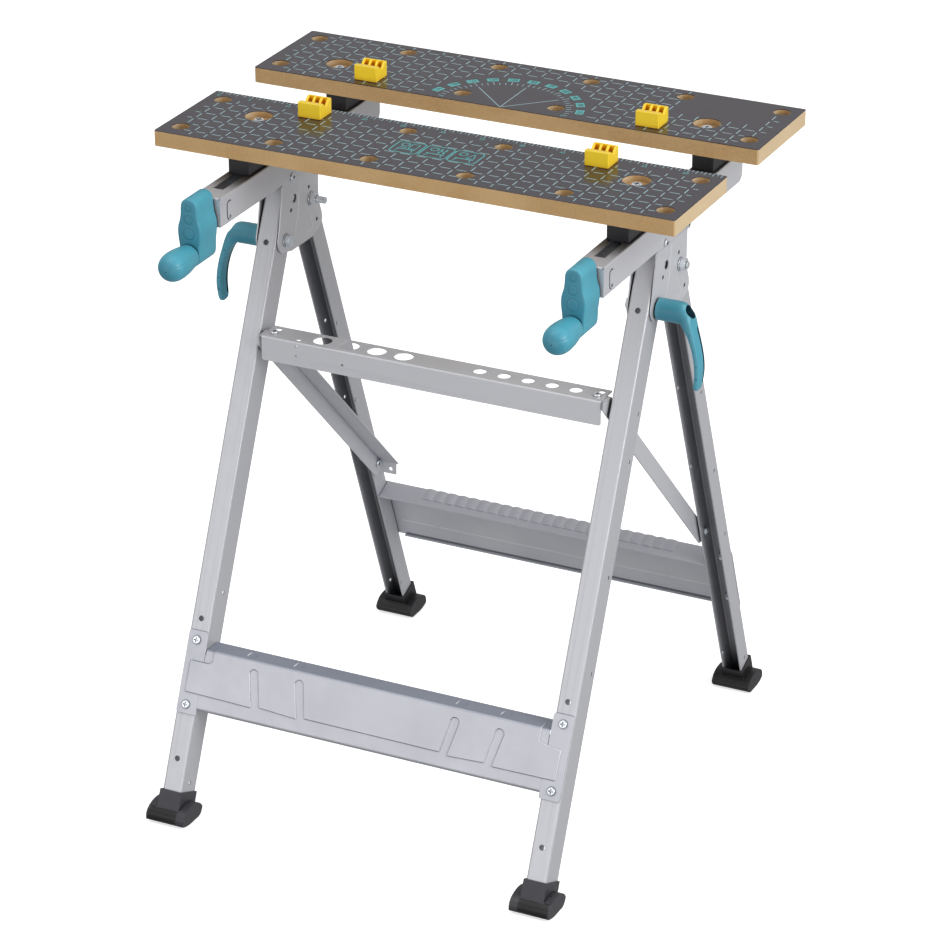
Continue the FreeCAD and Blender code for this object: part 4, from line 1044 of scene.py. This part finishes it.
GRID, DASH_ACROSS, DASH_BACK = 20.0, 12.0, 12.7
END_X, END_DASH = 306.8, 6.5
COLUMNS = range(-15, 16)
front_rows = (-29.8, -49.5, -69.5, -89.0, -108.6, -128.2)
grid = Print("grid_front", print_pale, "front_jaw")
for row in front_rows:
    inner = row in (-49.5, -69.5, -89.0)
    for cell in COLUMNS[:-1]:
        x = cell * GRID + GRID / 2
        if row == -69.5 and abs(x) < 60:
            continue
        length = DASH_ACROSS
        if abs(x) > 280 and not inner:
            x, length = math.copysign(288.0, x), 8.0
        dash(grid, x, row, length, True, FRONT_HOLES)
    if inner:
        for side in (-1, 1):
            dash(grid, side * END_X, row, END_DASH, True, FRONT_HOLES)
for column in COLUMNS:
    x = column * GRID
    for upper, lower in zip(front_rows, front_rows[1:]):
        if abs(column) == 15 and lower < -110:
            continue
        if abs(x) < 60 and upper < -49 and lower > -90:
            continue
        dash(grid, x, (upper + lower) / 2, DASH_BACK, False, FRONT_HOLES)
    if abs(column) < 15:
        dash(grid, x, -22.4, 8.1, False, FRONT_HOLES)
        dash(grid, x, -135.1, 8.3, False, FRONT_HOLES)

RULER_START, RULER_TEXT_Y = -322.5, -8.8
for tick in range(1, 65):
    x = RULER_START + 10 * tick
    grid.bar(x - 0.45, x + 0.45, -4.5, 3.8)
for tick in range(64):
    x = RULER_START + 5 + 10 * tick
    grid.bar(x - 0.4, x + 0.4, -1.5, 3.8)
grid.done()

marks = Print("marks_front", print_teal, "front_jaw")
for number in range(1, 13):
    marks.text(str(5 * number), RULER_START + 50 * number, RULER_TEXT_Y, 7.4)
marks.text("0", -313.5, RULER_TEXT_Y, 7.4)
for x0, x1 in ((-53.2, -19.5), (-16.8, 16.7), (19.1, 53.1)):
    marks.outline(rounded_square(x0, x1, -86.5, -52.0, 5.0), 1.3)
# Generic pictograms: a disc over a stand, a clamped block, and a bar on trestles
for x, turn in ((-36.4, 0), (0.0, 1), (36.1, 2)):
    marks.outline(circle(x - 6.0, -61.5, 4.6), 1.3)
    if turn == 0:
        marks.outline([(x + 1.5, -72.0), (x + 10.5, -72.0), (x + 10.5, -57.5), (x + 1.5, -57.5)], 1.0)
        marks.bar(x - 9.0, x - 1.0, -71.0, -69.4)
    elif turn == 1:
        marks.bar(x + 1.5, x + 3.2, -72.0, -57.0)
        marks.bar(x + 7.5, x + 9.2, -72.0, -57.0)
        marks.bar(x + 1.5, x + 9.2, -66.0, -64.4)
    else:
        marks.outline([(x + 1.0, -72.0), (x + 11.0, -72.0), (x + 7.0, -57.5)], 1.0)
    marks.bar(x - 11.0, x + 11.5, -75.8, -74.2)
    marks.line((x - 8.0, -76.0), (x - 10.5, -82.5), 1.0)
    marks.line((x + 8.0, -76.0), (x + 10.5, -82.5), 1.0)
marks.done()

rear_rows = (228.2, 208.2, 188.4, 168.7, 148.7, 129.1, 109.3)
CENTRE_Y = 95.0  # centre of the protractor
CLEAR = 107.0


def in_clear(x, y):
    """Whether a place is in the protractor or in the plain field at the right."""
    if math.hypot(x, y - CENTRE_Y) < CLEAR:
        return True
    return 188 < x < 292 and 166 < y < 229


grid = Print("grid_rear", print_pale, "top")
for row in rear_rows:
    inner = row in (188.4, 168.7, 148.7)
    for cell in COLUMNS[:-1]:
        x = cell * GRID + GRID / 2
        if in_clear(x, row):
            continue
        length = DASH_ACROSS
        if abs(x) > 280 and not inner:
            x, length = math.copysign(287.6, x), 7.2
        dash(grid, x, row, length, True, REAR_HOLES)
    if inner:
        for side in (-1, 1):
            dash(grid, side * END_X, row, END_DASH, True, REAR_HOLES)
for column in COLUMNS:
    x = column * GRID
    for upper, lower in zip(rear_rows, rear_rows[1:]):
        y = (upper + lower) / 2
        if in_clear(x, y) or (abs(column) == 15 and not 129 < y < 209):
            continue
        dash(grid, x, y, DASH_BACK, False, REAR_HOLES)
    if abs(column) < 15:
        if not in_clear(x, 226):
            dash(grid, x, 235.1, 7.2, False, REAR_HOLES)
        if not in_clear(x, 103):
            dash(grid, x, 102.8, 8.2, False, REAR_HOLES)

for degree in range(5, 180, 5):
    a = math.radians(degree)
    outer = 86.5 if degree % 15 == 0 else 83.0
    ends = [(r * math.cos(a), CENTRE_Y + r * math.sin(a)) for r in (77.0, outer)]
    grid.line(ends[0], ends[1], 0.9)
for degree in (45, 90, 135):
    a = math.radians(degree)
    grid.line((0, CENTRE_Y + 0.8), (73 * math.cos(a), CENTRE_Y + 73 * math.sin(a)), 1.0)
grid.done()

marks = Print("marks_rear", print_teal, "top")
labels = Print("labels_rear", print_dark, "top", PRINT_LOW + 0.03, PRINT_HIGH + 0.03)
for degree in range(15, 180, 15):
    a = math.radians(degree)
    along = Vector((math.cos(a), math.sin(a)))
    side = Vector((-along.y, along.x))
    middle = Vector((0, CENTRE_Y)) + 94 * along
    corners = [middle + u * 6.8 * side + v * 4.9 * along for u, v in ((1, 1), (1, -1), (-1, -1), (-1, 1))]
    marks.shape([tuple(c) for c in corners])
    labels.text(str(degree), middle.x, middle.y, 9.2 if degree < 100 else 7.2, a - math.pi / 2, 0.22)
for side in (-1, 1):
    marks.text("0", side * 76.5, 100.5, 6.0)
marks.done()
labels.done()


# ------------------------------------------------------------------ studio

# Name, place, target, side length and power of each square lamp
LAMPS = (
    ("key", (3.2, -0.9, 2.2), (0, 0, 0.5), 1.8, 44.0),
    ("side", (3.6, -0.6, 1.4), (0, 0, 0.5), 1.6, 30.0),
    ("front", (-1.5, -2.6, 0.8), (-0.1, 0, 0.4), 1.8, 10.0),
    ("inner", (0.36, -1.6, 0.35), (-0.25, 0, 0.45), 0.9, 3.5),
    ("above", (-0.6, -1.0, 3.1), (0, 0, 0.6), 2.2, 24.0),
)
HORIZON = (-0.12, 0.12, 0.38, 0.60)  # strength rises from below to above this band of heights
SIDEWAYS = (-1.0, 1.0, 0.75, 1.15)
FLOOR_REACH, FLOOR_Z = 60.0, -0.0006
CAMERA_PLACE = (1.838058, -3.790486, 2.36147)
CAMERA_DOWN, CAMERA_TURN, CAMERA_LENS = 25.305, 25.694, 149.13

for name, place, target, size, power in LAMPS:
    lamp = bpy.data.lights.new(name, "AREA")
    lamp.shape = "SQUARE"
    lamp.size = size
    lamp.energy = power
    light = link_object(name, lamp)
    light.location = place
    light.rotation_euler = (Vector(target) - Vector(place)).to_track_quat("-Z", "Y").to_euler()

# Sky: pale all round, brighter behind the bench and to the right, dim below the horizon
world = bpy.data.worlds.new("studio")
bpy.context.scene.world = world
world.use_nodes = True
tree = world.node_tree
background = tree.nodes["Background"]
background.inputs["Color"].default_value = (1, 1, 1, 1)
coords = tree.nodes.new("ShaderNodeTexCoord")
split = tree.nodes.new("ShaderNodeSeparateXYZ")
tree.links.new(coords.outputs["Generated"], split.inputs["Vector"])
height = remap(tree, split.outputs["Z"], *HORIZON)
sideways = remap(tree, split.outputs["X"], *SIDEWAYS)
sky = tree.nodes.new("ShaderNodeMath")
sky.operation = "MULTIPLY"
tree.links.new(height, sky.inputs[0])
tree.links.new(sideways, sky.inputs[1])
tree.links.new(sky.outputs[0], background.inputs["Strength"])

floor_mesh = bpy.data.meshes.new("floor")
floor_mesh.from_pydata([(x * FLOOR_REACH, y * FLOOR_REACH, FLOOR_Z)
                        for x, y in ((-1, -1), (1, -1), (1, 1), (-1, 1))], [], [(0, 1, 2, 3)])
floor = link_object("floor", floor_mesh)
floor_material, tree, shader = graph("floor_pale")
tint = remap(tree, noise_field(tree, coordinates(tree), 2.0), *NOISE_SPAN, 0.84, 0.86)
tree.links.new(tint, shader.inputs["Base Color"])
shader.inputs["Roughness"].default_value = 0.9
shader.inputs["Specular IOR Level"].default_value = 0.1
shader.inputs["Emission Color"].default_value = (1, 1, 1, 1)
shader.inputs["Emission Strength"].default_value = 0.62
floor_mesh.materials.append(floor_material)
floor.visible_diffuse = False
floor.visible_glossy = False

camera = link_object("camera", bpy.data.cameras.new("camera"))
camera.location = CAMERA_PLACE
camera.rotation_euler = (math.radians(90 - CAMERA_DOWN), 0, math.radians(CAMERA_TURN))
camera.data.lens = CAMERA_LENS
camera.data.sensor_width = 36.0
camera.data.clip_end = 60.0
bpy.context.scene.camera = camera
bpy.context.scene.view_settings.view_transform = "Standard"
